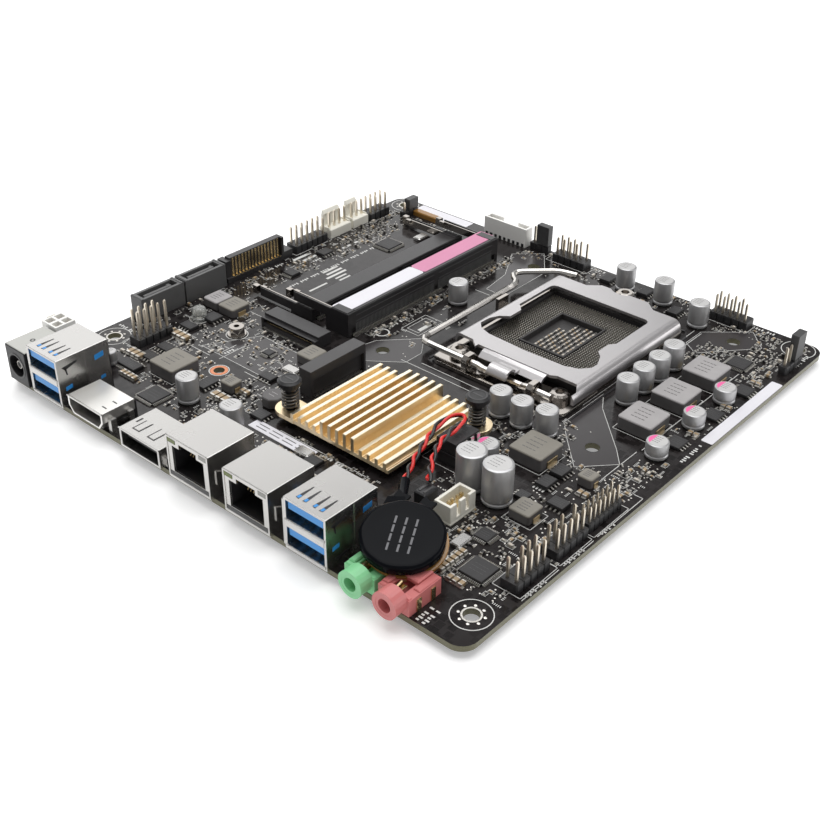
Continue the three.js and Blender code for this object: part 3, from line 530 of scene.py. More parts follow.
def battery_plug():
    """A small black two-way plug, its wires going in on top."""
    plug = Piece("battery_plug_shell")
    plug.box(45, 48.6, -56, -51, 0.4, 6.5, BLACK, 0.35, 0.3)
    for x in (45.7, 47.3):
        plug.box(x, x + 0.7, -55.2, -51.8, 6.3, 6.7, GREY, 0.1)
    for y in (-54.6, -52.9):
        plug.box(44.85, 45.1, y, y + 0.9, 1.2, 4.6, SOLDER, 0.05)
    plug.box(44.3, 49.2, -56.6, -50.4, 0, 1.6, IVORY, 0.2)
    return plug.build(["battery_plug"])


def battery_lead():
    plug = battery_plug()
    for name, side, material in (("lead_red", 1, RED_WIRE), ("lead_black", -1, BLACK_WIRE)):
        points = twisted_strand(side)
        wire = wire_curve(name, points, material)
        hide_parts("battery_lead")


# ------ the board's own print

COOLER_HOLES = [(-13, -3.9), (62, -3.9), (-13, 71.1), (62, 71.1)]
MOUNT_HOLES = [(78.74, -74.93), (78.74, 80.01), (-78.74, -52.07), (-78.74, 80.01)]

SMOOTH_ZONES = [  # the cooler hole inside each zone, and its outline
    (1, [(49.4, 20), (53.4, 13.6), (67.4, -0.6), (71.6, -5.6), (63.5, -14.4), (53.6, -4), (49.4, 1)]),
    (3, [(63.5, 80.5), (70.3, 73.3), (56.8, 57.4), (51.6, 61), (51.6, 69.8)]),
    (2, [(-24.4, 74), (-16.4, 81.6), (-7.6, 70), (-7.4, 47.6), (-14.8, 47.8), (-16.6, 60)]),
    (0, [(-18.6, -1), (-8.6, 9.8), (-3.4, 2.6), (-3.4, -4.4), (-14.4, -13), (-20, -8)]),
    (None, [(-55, -38), (-26, -38), (-22, -22), (-46, -22)]),
]


def with_hole(outline, x, y, r):
    """The outline with a round hole let into it along a hairline slit."""
    near = min(range(len(outline)), key=lambda i: math.hypot(outline[i][0] - x, outline[i][1] - y))
    px, py = outline[near]
    start = math.atan2(py - y, px - x)
    area = sum(a[0] * b[1] - b[0] * a[1] for a, b in zip(outline, outline[1:] + outline[:1]))
    turn = -1 if area > 0 else 1
    angles = [start + turn * i * math.pi / 12 for i in range(25)]
    bore = [(x + r * math.cos(a), y + r * math.sin(a)) for a in angles]
    return outline[: near + 1] + bore + outline[near:]


def board_print():
    """White ink, bare solder rings, and the smoother lacquer over the copper planes."""
    marks = Piece("board_print")
    for hole, outline in SMOOTH_ZONES:
        if hole is not None:
            pierced = with_hole(outline, *COOLER_HOLES[hole], 2.02)
        else:
            pierced = outline
        marks.prism(pierced, 0, 0.015, MASK_ZONE)
        marks.line([*outline, outline[0]], 0.16, INK)
    for x, y in MOUNT_HOLES:
        marks.ring(x, y, 4.85, 5.1, 0, PRINT, INK)
        marks.ring(x, y, 2.05, 2.5, 0, 0.02, SOLDER)
        for i in range(8):
            a = math.pi * (i + 0.5) / 4
            marks.lathe(x + 3.1 * math.cos(a), y + 3.1 * math.sin(a), [(0.42, 0), (0.36, 0.08), (0.1, 0.14)],
                        SOLDER, 10)
    for x, y in COOLER_HOLES:
        marks.ring(x, y, 2.05, 2.2, 0, PRINT, CERAMIC_DARK)
    marks.ring(-40.3, -44, 1.65, 2.6, 0, 0.04, COPPER)
    for x, y, inner, outer in PRINT_RINGS:
        marks.ring(x, y, inner, outer, 0, PRINT, INK)
    for x0, x1, y0, y1 in PRINT_FRAMES:
        marks.line([(x0, y0), (x1, y0), (x1, y1), (x0, y1), (x0, y0)], 0.18, INK)
    for points in PRINT_LINES:
        marks.line(points, 0.2, INK)
    marks.build()


# Circles and outlines printed round parts, and plain rules between them.
PRINT_RINGS = [
    (-40.3, -44, 2.75, 3.05), (-52.3, -26.4, 3.2, 3.45), (-68.3, -27.5, 3.0, 3.25), (-20.5, 4, 1.9, 2.4),
]
PRINT_FRAMES = [
    (60.6, 72.2, 40.6, 52), (60.6, 72.2, 24.2, 35.6), (60.6, 72.2, 7.6, 19.2),
    (62.4, 70.6, -42.8, -35.4), (48, 59, -23.4, -11.8), (-17.9, -10.9, 9.8, 21.2), (-16.6, -12.2, 11.2, 19.8),
    (75.6, 83.6, -34.8, -19.8), (75.6, 83.6, -48.6, -35.6), (75.6, 83.6, -63.8, -49.6),
    (-74.4, -64.8, -52.4, -37.6), (47.4, 62.2, 78.6, 84.2), (-13.6, 3, 78.6, 84.2),
    (-84.6, -77.4, 59.4, 72.6), (-84.6, -78, 23.4, 40.6), (43.6, 50.2, -57.2, -49.6),
    (-54.6, -44.2, -58.2, -47.4), (31.2, 44.6, -37, -24.6),
]
PRINT_LINES = [
    [(-5.4, -4.1), (20.2, -4.1)], [(0.4, -1.6), (24, -1.6)], [(72.4, 55.4), (72.4, 3.8)],
    [(48.4, 31), (48.4, 11.4)], [(50.2, 31), (50.2, 11.4)], [(49.7, 69), (49.7, 57.6)],
    [(52.2, 69), (52.2, 57.6)],
    [(71.8, -14), (71.8, 2)], [(-60, -14), (-60, -19.4)], [(-60, -14), (-54.8, -14)],
    [(-57.6, -40.2), (-49, -40.2)], [(-45.2, -29.6), (-45.2, -39.6)], [(-47.6, -31), (-47.6, -38)],
    [(-53.8, -35), (-48.6, -35)], [(-53.8, -31.4), (-50.8, -31.4)], [(36.4, -14.4), (43.8, -14.4)],
    [(-34.2, -39.6), (-23.6, -39.6)], [(81.4, -14), (84, -14), (84, -34)], [(-17, 45), (-9.6, 45)],
    [(-4.6, -53.4), (28, -53.4)], [(84.2, -36), (84.2, -48)], [(84.2, -50), (84.2, -64)],
    [(-79.6, 22), (-79.6, -8)], [(58.2, -14.2), (58.2, -22)], [(-24, 76), (-20, 80.4)],
]


def plain_rules():
    """Short bars and dashes where the board carries its printed captions, with no lettering."""
    rules = Piece("caption_rules")
    step, stroke = 0.95, 0.52
    for x, y, long, along_y in CAPTIONS:
        for i in range(int(long / step)):
            if i % 5 == 4:
                continue
            tall, start = 1.15 if i % 2 else 0.8, i * step
            if along_y:
                rules.box(x, x + tall, y + start, y + start + stroke, 0, PRINT, INK, 0)
            else:
                rules.box(x + start, x + start + stroke, y, y + tall, 0, PRINT, INK, 0)
    for x0, x1, y0, y1 in CAPTION_BLOCKS:
        rules.box(x0, x1, y0, y1, 0, PRINT, INK, 0)
    rules.build()


# x, y, length, and whether it runs along y.
CAPTIONS = [
    (82.4, 6, 11, True), (82.2, 70, 9, True), (83.6, -32.6, 6, True), (83.6, -47.4, 8, True),
    (83.6, -62.4, 8, True), (74.4, -46, 7, True), (60.6, -28.6, 5, False), (70.4, -84.2, 6, True),
    (72.2, -84.2, 6, True), (-51.6, 14, 26, True), (-53.4, 14, 20, True), (-63.4, 6, 40, True),
    (-21.6, 8, 9, True), (-83.4, -47, 7, False), (62, 82.8, 8, False), (2, 82.8, 6, False),
    (-6, -55.6, 9, False), (42.6, -11.6, 4, False), (-71, 24, 8, True), (-77.4, 8, 9, True),
    (-46.8, -36.6, 5, True), (12, -54.6, 8, False),
]
CAPTION_BLOCKS = [
    (-62.6, -61.6, 20, 27), (-60.6, -59.6, 20, 27), (-58.6, -57.6, 18, 27), (-56.4, -55.6, 8, 16),
    (-76.6, -75.4, 20, 28), (-73.8, -72.8, 22, 28), (-70.8, -69.8, 44, 48), (-70.8, -69.8, 38, 42),
    (-54.6, -53.8, 20, 25), (-56.4, -55.6, 20, 25), (-13.6, -12.2, 12.4, 18.4),
]


# ------ parts on the board

CAPACITORS = [  # x, y, radius, height, whether its mark is pink
    (18.4, 78.3, 3.15, 8.2, False), (32.7, 78.1, 3.15, 8.2, False), (48.5, 72.6, 3.15, 8.2, False),
    (56.2, 20.9, 3.15, 8.1, False), (56.2, 29.1, 3.15, 8.1, False), (56.2, 37.3, 3.15, 8.1, False),
    (56, 45.5, 3.15, 8.1, False), (-15.7, 34.4, 3.15, 7.6, False), (-34.3, -60.2, 3.15, 8.2, False),
    (-14.6, -61.5, 3.15, 8.0, False), (34, -7.6, 3.15, 8.0, False), (41.4, -7.9, 3.15, 8.0, False),
    (49, -7, 3.15, 8.0, False), (76.4, 39.4, 3.1, 4.9, True), (76.4, 22.8, 3.1, 4.9, True),
    (76.5, 4, 3.1, 4.9, True), (44.6, -26.6, 3.1, 5.2, True), (49, -38.8, 4, 11.5, False),
    (57.5, -39, 4, 11.5, False), (-66.2, -62.4, 1.9, 4.4, False),
]

CHOKES = [  # x, y, width, depth, height, light or dark
    (66.6, 46.3, 10.4, 10.3, 4.1, FERRITE), (66.6, 29.9, 10.4, 10.3, 4.1, FERRITE),
    (66.6, 13.3, 10.4, 10.3, 4.1, FERRITE), (53.5, -17.6, 10.3, 10.3, 4.1, WARM_FERRITE),
    (66.4, -39.1, 6.3, 6.2, 3.0, WARM_FERRITE), (70.2, -17.9, 4.4, 4.2, 3.0, WARM_FERRITE),
    (-49.3, -52.8, 10.2, 10.2, 4.1, WARM_FERRITE), (-70.8, -17.6, 6.4, 6.9, 3.0, FERRITE),
    (-63.6, -17.4, 6.9, 7.3, 3.0, WARM_FERRITE), (-24.4, -22.1, 6.2, 6.9, 3.0, WARM_FERRITE),
    (-30, -48.3, 4.7, 4.4, 3.0, WARM_FERRITE),
]


def dashes(piece, x, y, wide, deep, h, rows, material, size=0.22):
    """Rows of short printed dashes that stand for a part's marking."""
    for r in range(rows):
        py = y + (r - (rows - 1) / 2) * deep / rows
        for k in range(4):
            px = x + (k - 1.5) * wide / 4
            piece.box(px - wide / 10, px + wide / 10, py - size / 2, py + size / 2, h, h + 0.015, material, 0)


def capacitor(number, x, y, r, height, pink):
    """A can with a rolled groove near its foot, a bung under it and its marking on top."""
    can = Piece(f"capacitor_{number:02d}", x, y)
    can.lathe(0, 0, [(r * 0.9, 0), (r * 0.9, 0.5)], RUBBER)
    can.lathe(0, 0, [(r * 0.93, 0.35), (r, 0.6), (r, 1.1), (r * 0.93, 1.4), (r * 0.93, 1.7), (r, 2.0),
                     (r, height - 0.5), (r * 0.97, height - 0.18), (r * 0.88, height)], CAN, 32)
    # The lighter top disc is a painted highlight.
    can.lathe(0, 0, [(r * 0.84, height - 0.02), (r * 0.82, height + 0.03)], CAN_TOP_HIGHLIGHT, 32)
    top = height + 0.03
    if pink:
        arc = [math.radians(120 + i * 12) for i in range(11)]
        can.prism([(r * 0.8 * math.cos(a), r * 0.8 * math.sin(a)) for a in arc], top, top + 0.02, CAN_PINK)
    dashes(can, -r * 0.18, r * 0.1 if pink else 0, r * 0.8, r * 1.1, top, 4, CAN_INK, 0.16)
    can.build()


def choke(number, x, y, wide, deep, height, material):
    """A moulded coil, its sides painted darker as shade under its lighter top, and a brass terminal on its
    solder pad at each end.
    """
    body = Piece(f"choke_{number:02d}", x, y)
    w, d = wide / 2, deep / 2
    shaded_sides_top = height - 0.5
    # The darker block up to the top is painted shade on the coil's sides; the top keeps the ferrite's own
    # colour.
    body.block(0, 0, w, d, 0.2, shaded_sides_top, SHADE_AND_DARK_FERRITE, 0.02, 0.7)
    body.block(0, 0, w, d, shaded_sides_top - 0.02, height, material, 0.3, 0.7)
    for side in (-1, 1):
        edge = side * w
        body.box(edge, edge + side * 0.25, -d * 0.42, d * 0.42, 0, height * 0.5, BRASS, 0.08)
        body.box(edge - side * 0.8, edge + side * 0.9, -d * 0.42, d * 0.42, 0, 0.2, SOLDER, 0.08)
    dashes(body, -w * 0.1, 0, wide * 0.42, deep * 0.66, height, 4, SHADE_AND_DARK_FERRITE, 0.3)
    body.build()


def eight_sided_choke():
    """The one coil with an octagonal body."""
    body = Piece("choke_octagonal", -15.6, -45.6)
    turn = [math.radians(22.5 + 45 * i) for i in range(8)]
    sides = ((0.3, 3.35), (2.9, 3.35), (3.2, 3.35 * 0.92))
    body.skin([[(r * math.cos(a), r * math.sin(a), h) for a in turn] for h, r in sides], SHADE_AND_DARK_FERRITE)
    body.block(0, 0, 3.9, 1.2, 0, 0.35, SOLDER)
    dashes(body, 0, 0, 2.2, 2.6, 3.2, 2, FERRITE, 0.25)
    body.build()


CHIPS = [  # x, y, width, depth, height, lead pitch, leads on x sides, leads on y sides
    ("chip_codec", 71.0, -62.8, 7.0, 7.0, 1.1, 0.5, True, True),
    ("chip_small_square", 64.1, -51.8, 4.3, 4.3, 0.9, 0.5, True, True),
    ("chip_right_a", 62.6, -19.0, 3.9, 4.9, 1.4, 1.27, True, False),
    ("chip_right_b", 62.6, -25.4, 3.9, 4.9, 1.4, 1.27, True, False),
    ("chip_right_c", 70.2, -30.6, 4.9, 3.9, 1.4, 1.27, False, True),
    ("chip_far_a", 11.4, 79.2, 3.9, 4.9, 1.4, 1.27, True, False),
    ("chip_far_b", 25.5, 79.4, 3.9, 4.9, 1.4, 1.27, True, False),
    ("chip_far_c", 39.4, 74.6, 3.9, 4.9, 1.4, 1.27, True, False),
    ("chip_regulator", 69.9, 60.2, 6.0, 6.0, 0.9, 0.5, True, True),
    ("chip_left", -60.2, 50.4, 7.0, 7.0, 0.9, 0.5, True, True),
    ("chip_network", -43.1, -65.3, 7.0, 7.0, 0.9, 0.5, True, True),
    ("chip_left_front", -61, -59.8, 8.0, 3.9, 1.2, 0.65, False, True),
    ("chip_power_left", -64.9, -25.2, 4.9, 4.9, 1.2, 1.27, True, False),
    ("chip_power_left_b", -66.3, -33.4, 5.2, 3.6, 1.1, 1.27, False, True),
    ("chip_tiny_left", -36.5, -28, 3.2, 3.0, 0.9, 0.5, True, True),
    ("chip_middle_front", -37, -51.6, 4.3, 5.7, 1.0, 1.27, True, False),
    ("chip_near_slot", -26.6, -37.4, 5.0, 3.4, 1.0, 1.27, False, True),
    ("chip_port_side", 12.4, -58, 4.6, 3.6, 1.0, 0.65, False, True),
    ("chip_far_left", -72, 31, 4.0, 4.6, 1.0, 1.27, True, False),
    ("chip_far_edge", -69, 12.6, 4.4, 4.0, 1.0, 0.65, False, True),
    ("transistor_a", 78.3, 47.3, 4.6, 5.2, 1.0, 1.27, True, False),
    ("transistor_b", 78.1, 30.6, 4.6, 5.2, 1.0, 1.27, True, False),
    ("transistor_c", 77.6, 12.2, 4.6, 5.2, 1.0, 1.27, True, False),
    ("transistor_d", -61.4, -46.3, 5.2, 3.8, 1.0, 1.27, False, True),
    ("transistor_e", -61.2, -52.6, 5.2, 3.8, 1.0, 1.27, False, True),
    ("transistor_f", -13.6, -52.2, 4.8, 4.2, 1.0, 1.27, True, False),
    ("transistor_g", 61.4, -33.4, 3.6, 3.2, 1.0, 0.95, True, False),
]


def leads(piece, x0, x1, y0, y1, pitch, material):
    """Gull-wing leads along both x sides of a package."""
    count = int((y1 - y0 - 0.4) / pitch) + 1
    half = min(0.42, pitch * 0.45) / 2
    for side, edge in ((-1, x0), (1, x1)):
        for i in range(count):
            y = (y0 + y1) / 2 + (i - (count - 1) / 2) * pitch
            piece.box(edge - side * 0.05, edge + side * 0.45, y - half, y + half, 0.35, 0.55, material, 0)
            piece.box(edge + side * 0.35, edge + side * 0.95, y - half, y + half, 0, 0.45, material)


def chip(name, x, y, wide, deep, height, pitch, on_x, on_y):
    """A moulded package with its leads, its first-pin dot and a plain marking."""
    body = Piece(name, x, y)
    w, d = wide / 2, deep / 2
    sides = ((0.12, 0.12), (height * 0.55, 0), (height - 0.08, 0.1), (height, 0.2))
    body.skin([rectangle(-w, w, -d, d, h, inset) for h, inset in sides], CHIP)
    if on_x:
        leads(body, -w, w, -d, d, pitch, SOLDER)
    if on_y:
        body.place = placed(x, y, 90)
        leads(body, -d, d, -w, w, pitch, SOLDER)
        body.place = placed(x, y)
    body.lathe(0.8 - w, d - 0.8, [(0.28, height - 0.01), (0.24, height + 0.02)], CERAMIC_DARK, 12)
    dashes(body, 0, 0, wide * 0.6, deep * 0.5, height, 3, GREY, 0.18)
    body.build()


# ------ small surface-mount parts

SMALL_SIZES = [(1.0, 0.5, 0.35), (1.0, 0.5, 0.35), (1.6, 0.8, 0.45), (1.6, 0.8, 0.8)]
SMALL_ZONES = [  # x0, x1, y0, y1, how many to try
    (58, 82, -70, -44, 150), (60, 76, -44, -12, 90), (56, 80, 54, 82, 230), (72, 82, -20, 2, 60),
    (74, 81.5, -20, 54, 70), (0, 60, 74, 84, 120), (-24, -6, 68, 84, 30), (-23.6, -20.5, 0, 70, 160),
    (-80, -50, 30, 74, 260), (-80, -66, -8, 30, 70), (-78, -52, -36, -8, 110), (-52, -20, -36, -18, 64),
    (-80, -46, -64, -36, 150), (-46, -20, -66, -42, 100), (-30, -8, -50, -20, 90), (-20, -5, -20, 30, 24),
    (30, 48, -48, -10, 110), (-8, 32, -66, -52, 90), (26, 60, -12, 2, 60), (-30, -16, -72, -50, 60),
    (48.6, 60, 46, 56, 20), (46, 62, -62, -44, 50),
]


# The copper ring, the long sticker, the octagonal coil and the sticker behind the ports.
KEPT_CLEAR = [
    (-43.5, -37, -47.2, -40.8), (81.2, 85, 17.6, 58.6), (-19, -12.2, -49, -42), (-13.4, 10.4, -58, -53.4),
]
GRID = 0.65  # the small parts' middles fall on this pitch
OUTLINED = 0.42  # the share of them with a printed frame
DOT = 0.2  # half the room that a plated hole takes


def footprints():
    """The plan rectangles that small parts keep off, from the CAD nodes and the larger parts."""
    taken = []
    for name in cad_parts:
        if name in ("pcb", "socket_backplate", "battery", "battery_lead", "load_lever"):
            continue
        low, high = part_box(name)
        taken.append((low.x / MM, high.x / MM, low.y / MM, high.y / MM))
    taken += [(x - r, x + r, y - r, y + r) for x, y, r, _, _ in CAPACITORS]
    taken += [(x - w / 2, x + w / 2, y - d / 2, y + d / 2) for x, y, w, d, _, _ in CHOKES]
    taken += [(x - w / 2 - 1, x + w / 2 + 1, y - d / 2 - 1, y + d / 2 + 1) for _, x, y, w, d, *_ in CHIPS]
    taken += [(x - 5.2, x + 5.2, y - 5.2, y + 5.2) for x, y in MOUNT_HOLES]
    taken += [(x - 5, x + 5, y - 5, y + 5) for x, y in COOLER_HOLES]
    taken += KEPT_CLEAR
    return taken


def is_free(taken, x0, x1, y0, y1, gap=0.25):
    return all(x1 + gap < a or x0 - gap > b or y1 + gap < c or y0 - gap > d for a, b, c, d in taken)


def small_part(piece, x, y, long, wide, tall, turned, body):
    """A two-ended part: a ceramic body between soldered caps."""
    piece.place = placed(x, y, 90 if turned else 0)
    end, cap, half = long / 2, long * 0.24, wide / 2
    piece.block(0, 0, end - cap * 0.9, half - 0.02, 0.03, tall - 0.02, body, 0.05)
    for side in (-1, 1):
        piece.box(side * end, side * (end - cap), -half, half, 0, tall, SOLDER, 0.08)
        piece.box(side * (end - 0.05), side * (end + 0.28), -half - 0.05, half + 0.05, 0, tall * 0.4, SOLDER)
    piece.place = placed()


def part_outline(piece, x0, x1, y0, y1, gap=0.22, width=0.11):
    """A printed frame round a part."""
    loops = [rectangle(x0, x1, y0, y1, h, -grow) for grow, h in (
        (gap, 0), (gap + width, 0), (gap + width, PRINT), (gap, PRINT))]
    piece.skin(loops, INK, closed=True)


def reference_mark(piece, x, y, along_y, count):
    """A few short strokes in a row, the size of the board's part references."""
    for i in range(count):
        step = (i - (count - 1) / 2) * 0.52
        px, py = (x, y + step) if along_y else (x + step, y)
        w, d = (0.3, 0.1) if along_y else (0.1, 0.3)
        piece.box(px - w, px + w, py - d, py + d, 0, PRINT, INK, 0)


def small_parts():
    """Scatter small parts, part references and plated holes in each zone, wherever there is room."""
    taken = footprints()
    bodies = [CERAMIC_DARK, CERAMIC_TAN, CERAMIC_DARK, CERAMIC_PALE]
    part = Piece("small_parts")
    dots = Piece("plated_holes")
    for x0, x1, y0, y1, tries in SMALL_ZONES:
        for _ in range(tries):
            x = round(rng.uniform(x0, x1) / GRID) * GRID
            y = round(rng.uniform(y0, y1) / GRID) * GRID
            long, wide, tall = rng.choice(SMALL_SIZES)
            turned = rng.random() < 0.5
            half_x, half_y = (wide / 2, long / 2) if turned else (long / 2, wide / 2)
            box = (x - half_x, x + half_x, y - half_y, y + half_y)
            if is_free(taken, *box):
                small_part(part, x, y, long, wide, tall, turned, rng.choice(bodies))
                taken.append(box)
                if rng.random() < OUTLINED:
                    part_outline(dots, *box)
        for _ in range(tries // 2):
            x, y = rng.uniform(x0, x1), rng.uniform(y0, y1)
            along_y = rng.random() < 0.7
            half_x, half_y = (0.35, 1.2) if along_y else (1.2, 0.35)
            mark = (x - half_x, x + half_x, y - half_y, y + half_y)
            if is_free(taken, *mark, 0.1):
                reference_mark(dots, x, y, along_y, rng.choice((3, 4, 5)))
                taken.append(mark)
        for _ in range(tries):
            x, y = rng.uniform(x0, x1), rng.uniform(y0, y1)
            dot = (x - DOT, x + DOT, y - DOT, y + DOT)
            if is_free(taken, *dot, 0.05):
                dots.lathe(x, y, [(0.24, 0), (0.16, 0.03)], SOLDER, 8)
                taken.append(dot)
    for x, y, long, wide, tall, count, step_x, step_y in PART_ROWS:
        for i in range(count):
            small_part(part, x + i * step_x, y + i * step_y, long, wide, tall, step_x != 0, CERAMIC_TAN)
    part.build()
    dots.build()


# Rows of larger ceramic capacitors: first x and y, size, how many, and the step between them.
PART_ROWS = [
    (64.0, -68.2, 2.0, 1.25, 1.1, 6, 0, 1.62), (-65.4, -38.8, 3.2, 1.6, 1.2, 3, 2.1, 0),
    (-67.0, -54.6, 3.0, 1.6, 1.2, 3, 2.1, 0), (-30.6, -53.6, 3.0, 1.6, 1.2, 3, 2.1, 0),
    (77.9, 53.4, 1.6, 1.25, 1.0, 2, 1.7, 0), (77.9, 36.6, 1.6, 1.25, 1.0, 2, 1.7, 0),
    (77.9, 18.9, 1.6, 1.25, 1.0, 2, 1.7, 0), (-26.4, -47.2, 2.0, 1.25, 1.0, 2, 1.7, 0),
    (67.6, -68.9, 2.0, 1.25, 1.0, 3, 1.7, 0), (71.2, -22.8, 2.0, 1.25, 1.0, 2, 1.7, 0),
    (-59.4, -63.4, 2.0, 1.25, 1.0, 4, 1.7, 0),
]


# ------ processor socket

WELL = {"x0": 6.3, "x1": 43.5, "y0": 16.6, "y1": 56.4, "floor": 2.2, "pitch": 0.914}
RECESS = {"x0": 16.3, "x1": 31.2, "y0": 25.4, "y1": 46.2, "floor": 1.1}


def socket_contacts():
    """The field of sprung contacts, each a short leaf leaning over its cell."""
    field = Piece("socket_contacts")
    pitch, floor = WELL["pitch"], WELL["floor"]
    columns = int((WELL["x1"] - WELL["x0"] - 0.8) / pitch)
    rows = int((WELL["y1"] - WELL["y0"] - 0.8) / pitch)
    x0, x1, y0, y1 = RECESS["x0"], RECESS["x1"], RECESS["y0"], RECESS["y1"]
    for c in range(columns):
        for r in range(rows):
            x = WELL["x0"] + 0.7 + c * pitch
            y = WELL["y0"] + 0.7 + r * pitch
            if x0 - 1 < x < x1 + 1 and y0 - 1 < y < y1 + 1:
                continue
            foot = rectangle(x - 0.2, x + 0.2, y - 0.16, y + 0.16, floor)
            bend = rectangle(x - 0.2, x + 0.2, y - 0.02, y + 0.24, floor + 0.35)
            tip = rectangle(x - 0.17, x + 0.17, y + 0.06, y + 0.3, floor + 0.6)
            field.skin([foot, bend, tip], CONTACT)
    field.build()

    rim = Piece("socket_recess_parts")
    for a, b, c, d in ((x0 - 0.7, x0, y0 - 0.7, y1 + 0.7), (x1, x1 + 0.7, y0 - 0.7, y1 + 0.7),
                       (x0, x1, y0 - 0.7, y0), (x0, x1, y1, y1 + 0.7)):
        rim.box(a, b, c, d, floor, floor + 0.75, SOCKET_GREY, 0.15)
    rim.place = Matrix.Translation((0, 0, RECESS["floor"]))
    bodies = [CERAMIC_DARK, CERAMIC_PALE, CERAMIC_TAN, CERAMIC_PALE]
    for c in range(7):
        for r in range(15):
            x = x0 + 3.4 + c * 1.65
            y = y0 + 1.3 + r * 1.3
            if (c < 2 and r > 10) or (c == 3 and r % 5 == 4):
                continue
            rim.block(x, y, 0.32, 0.3, 0, 0.5, bodies[(c + r) % 4], 0.05)
            for side in (-1, 1):
                rim.box(x - 0.34, x + 0.34, y + side * 0.3, y + side * 0.5, 0, 0.52, SOLDER, 0.05)
    rim.build()


def socket_marks():
    """Low moulded ribs on the board round the socket."""
    ribs = Piece("socket_frame_ribs")
    ribs.boxes(SLOT_BLACK, 0.05, *[(x, x + 0.7, 2, 64, 0, 0.25) for x in (-0.2, 49.6)])
    for y0, y1 in ((1.2, 1.9), (65.9, 66.5)):
        ribs.boxes(SLOT_BLACK, 0.05, (2, 18, y0, y1, 0, 0.6), (32, 48, y0, y1, 0, 0.6))
    ribs.build()


# ------ memory and card slots

MEMORY_Y = 30.8
MEMORY = {"low": {"front": -41.0, "height": 4.0}, "tall": {"front": -25.6, "height": 8.0}}


def memory_contacts(kind):
    """Solder tails behind a slot and the two rows of contact springs in its mouth."""
    front, height = MEMORY[kind]["front"], MEMORY[kind]["height"]
    back = front - 7.2
    rows = Piece(f"memory_{kind}_contacts")
    count = 115
    for i in range(count):
        y = MEMORY_Y + (i - (count - 1) / 2) * 0.6
        if 3 < i - 66 < 8:
            continue
        rows.box(front + 0.05, front + 1.1, y - 0.13, y + 0.13, 0, 0.22, SOLDER, 0.05)
        rows.box(front - 0.8, front + 0.15, y - 0.13, y + 0.13, 0.1, 0.75, SOLDER, 0.08)
        rows.box(back + 0.5, back + 4.2, y - 0.13, y + 0.13, height - 2.55, height - 2.35, GOLD, 0.04)
    rows.build()


def memory_ribs(kind):
    """The moulded steps along a slot's top, and its end posts."""
    front, height = MEMORY[kind]["front"], MEMORY[kind]["height"]
    ribs = Piece(f"memory_{kind}_ribs")
    for y in (MEMORY_Y - 34.6, MEMORY_Y + 34.6):
        ribs.box(front - 6.9, front - 0.4, y - 1.5, y + 1.5, height - 0.05, height + 0.25, SLOT_BLACK, 0.1)
    ribs.box(front - 0.9, front - 0.2, MEMORY_Y - 33, MEMORY_Y + 33, height - 0.05, height + 0.2, SLOT_BLACK)
    for i in range(110):
        y = MEMORY_Y - 33 + i * 0.6
        if 60 < i < 64:
            continue
        ribs.box(front - 0.02, front + 0.12, y, y + 0.3, 0.5, height * 0.48, DRIVE_GREY, 0.04)
    for y0, y1 in ((-33, 3.2), (5.4, 33)):
        for h in (height * 0.56, height * 0.8):
            ribs.box(front - 0.02, front + 0.14, MEMORY_Y + y0, MEMORY_Y + y1, h, h + 0.18, GREY, 0.05)
    ribs.build()


def memory_label():
    """A long label over both halves of the tall slot, white near the front and pink beyond."""
    label = Piece("memory_label")
    top = MEMORY["tall"]["height"] + 0.02
    x0, x1 = -33.2, -27.1
    label.box(x0, x1, -4.9, 31.1, top, top + 0.1, PAPER, 0.03, 0.9)
    label.box(x0, x1, 31.2, 67.3, top, top + 0.1, PAPER_PINK, 0.03, 0.9)
    label.build()


def card_slot_contacts():
    """Solder tails and contact springs of the two card slots."""
    pins = Piece("card_slot_contacts")
    for i in range(42):
        x = -49.2 + i * 0.5
        pins.box(x - 0.11, x + 0.11, -18.6, -17.7, 0, 0.35, SOLDER, 0.05)
        pins.box(x - 0.1, x + 0.1, -11.1, -10.2, 0, 0.4, SOLDER, 0.05)
        pins.box(x - 0.1, x + 0.1, -17.0, -13.2, 1.45, 1.65, GOLD, 0.03)
    for i in range(38):
        a, b = -35.4 + i * 0.5 - 0.11, -35.4 + i * 0.5 + 0.11
        pins.box(-14.1, -11.6, a, b, 5.35, 5.55, GOLD, 0.03)
        pins.boxes(SOLDER, 0.03, (-10.5, -9.4, a, b, 0, 0.3), (-13.3, -13.1, a, b, 0.2, 4.0))
    pins.build()


# ------ heatsink and push pins


def fin_top_highlights():
    """A painted highlight along the top of each fin, where the light from above falls."""
    edges = Piece("heatsink_fin_highlights")
    kinds = ["low"] * 4 + ["tall"] * 5 + ["low"] * 4
    tops = {"low": 5.2, "tall": 7.6}
    for i, kind in enumerate(kinds):
        middle = 14.4 + (i - 6) * 2.78
        edges.box(middle - 0.5, middle + 0.5, -51.2, -16.2, tops[kind] - 0.02, tops[kind] + 0.06, FIN_TOP_HIGHLIGHT,
                  0.05)
    edges.build()


PUSH_PINS = {"left": (-6.8, -47.3), "right": (35.6, -19.9)}
PIN_SPRING = {"coil": 2.15, "wire": 0.32, "turns": 5.5, "foot": 3.97, "top": 9.43, "seat": 3.6, "travel": 1.5}


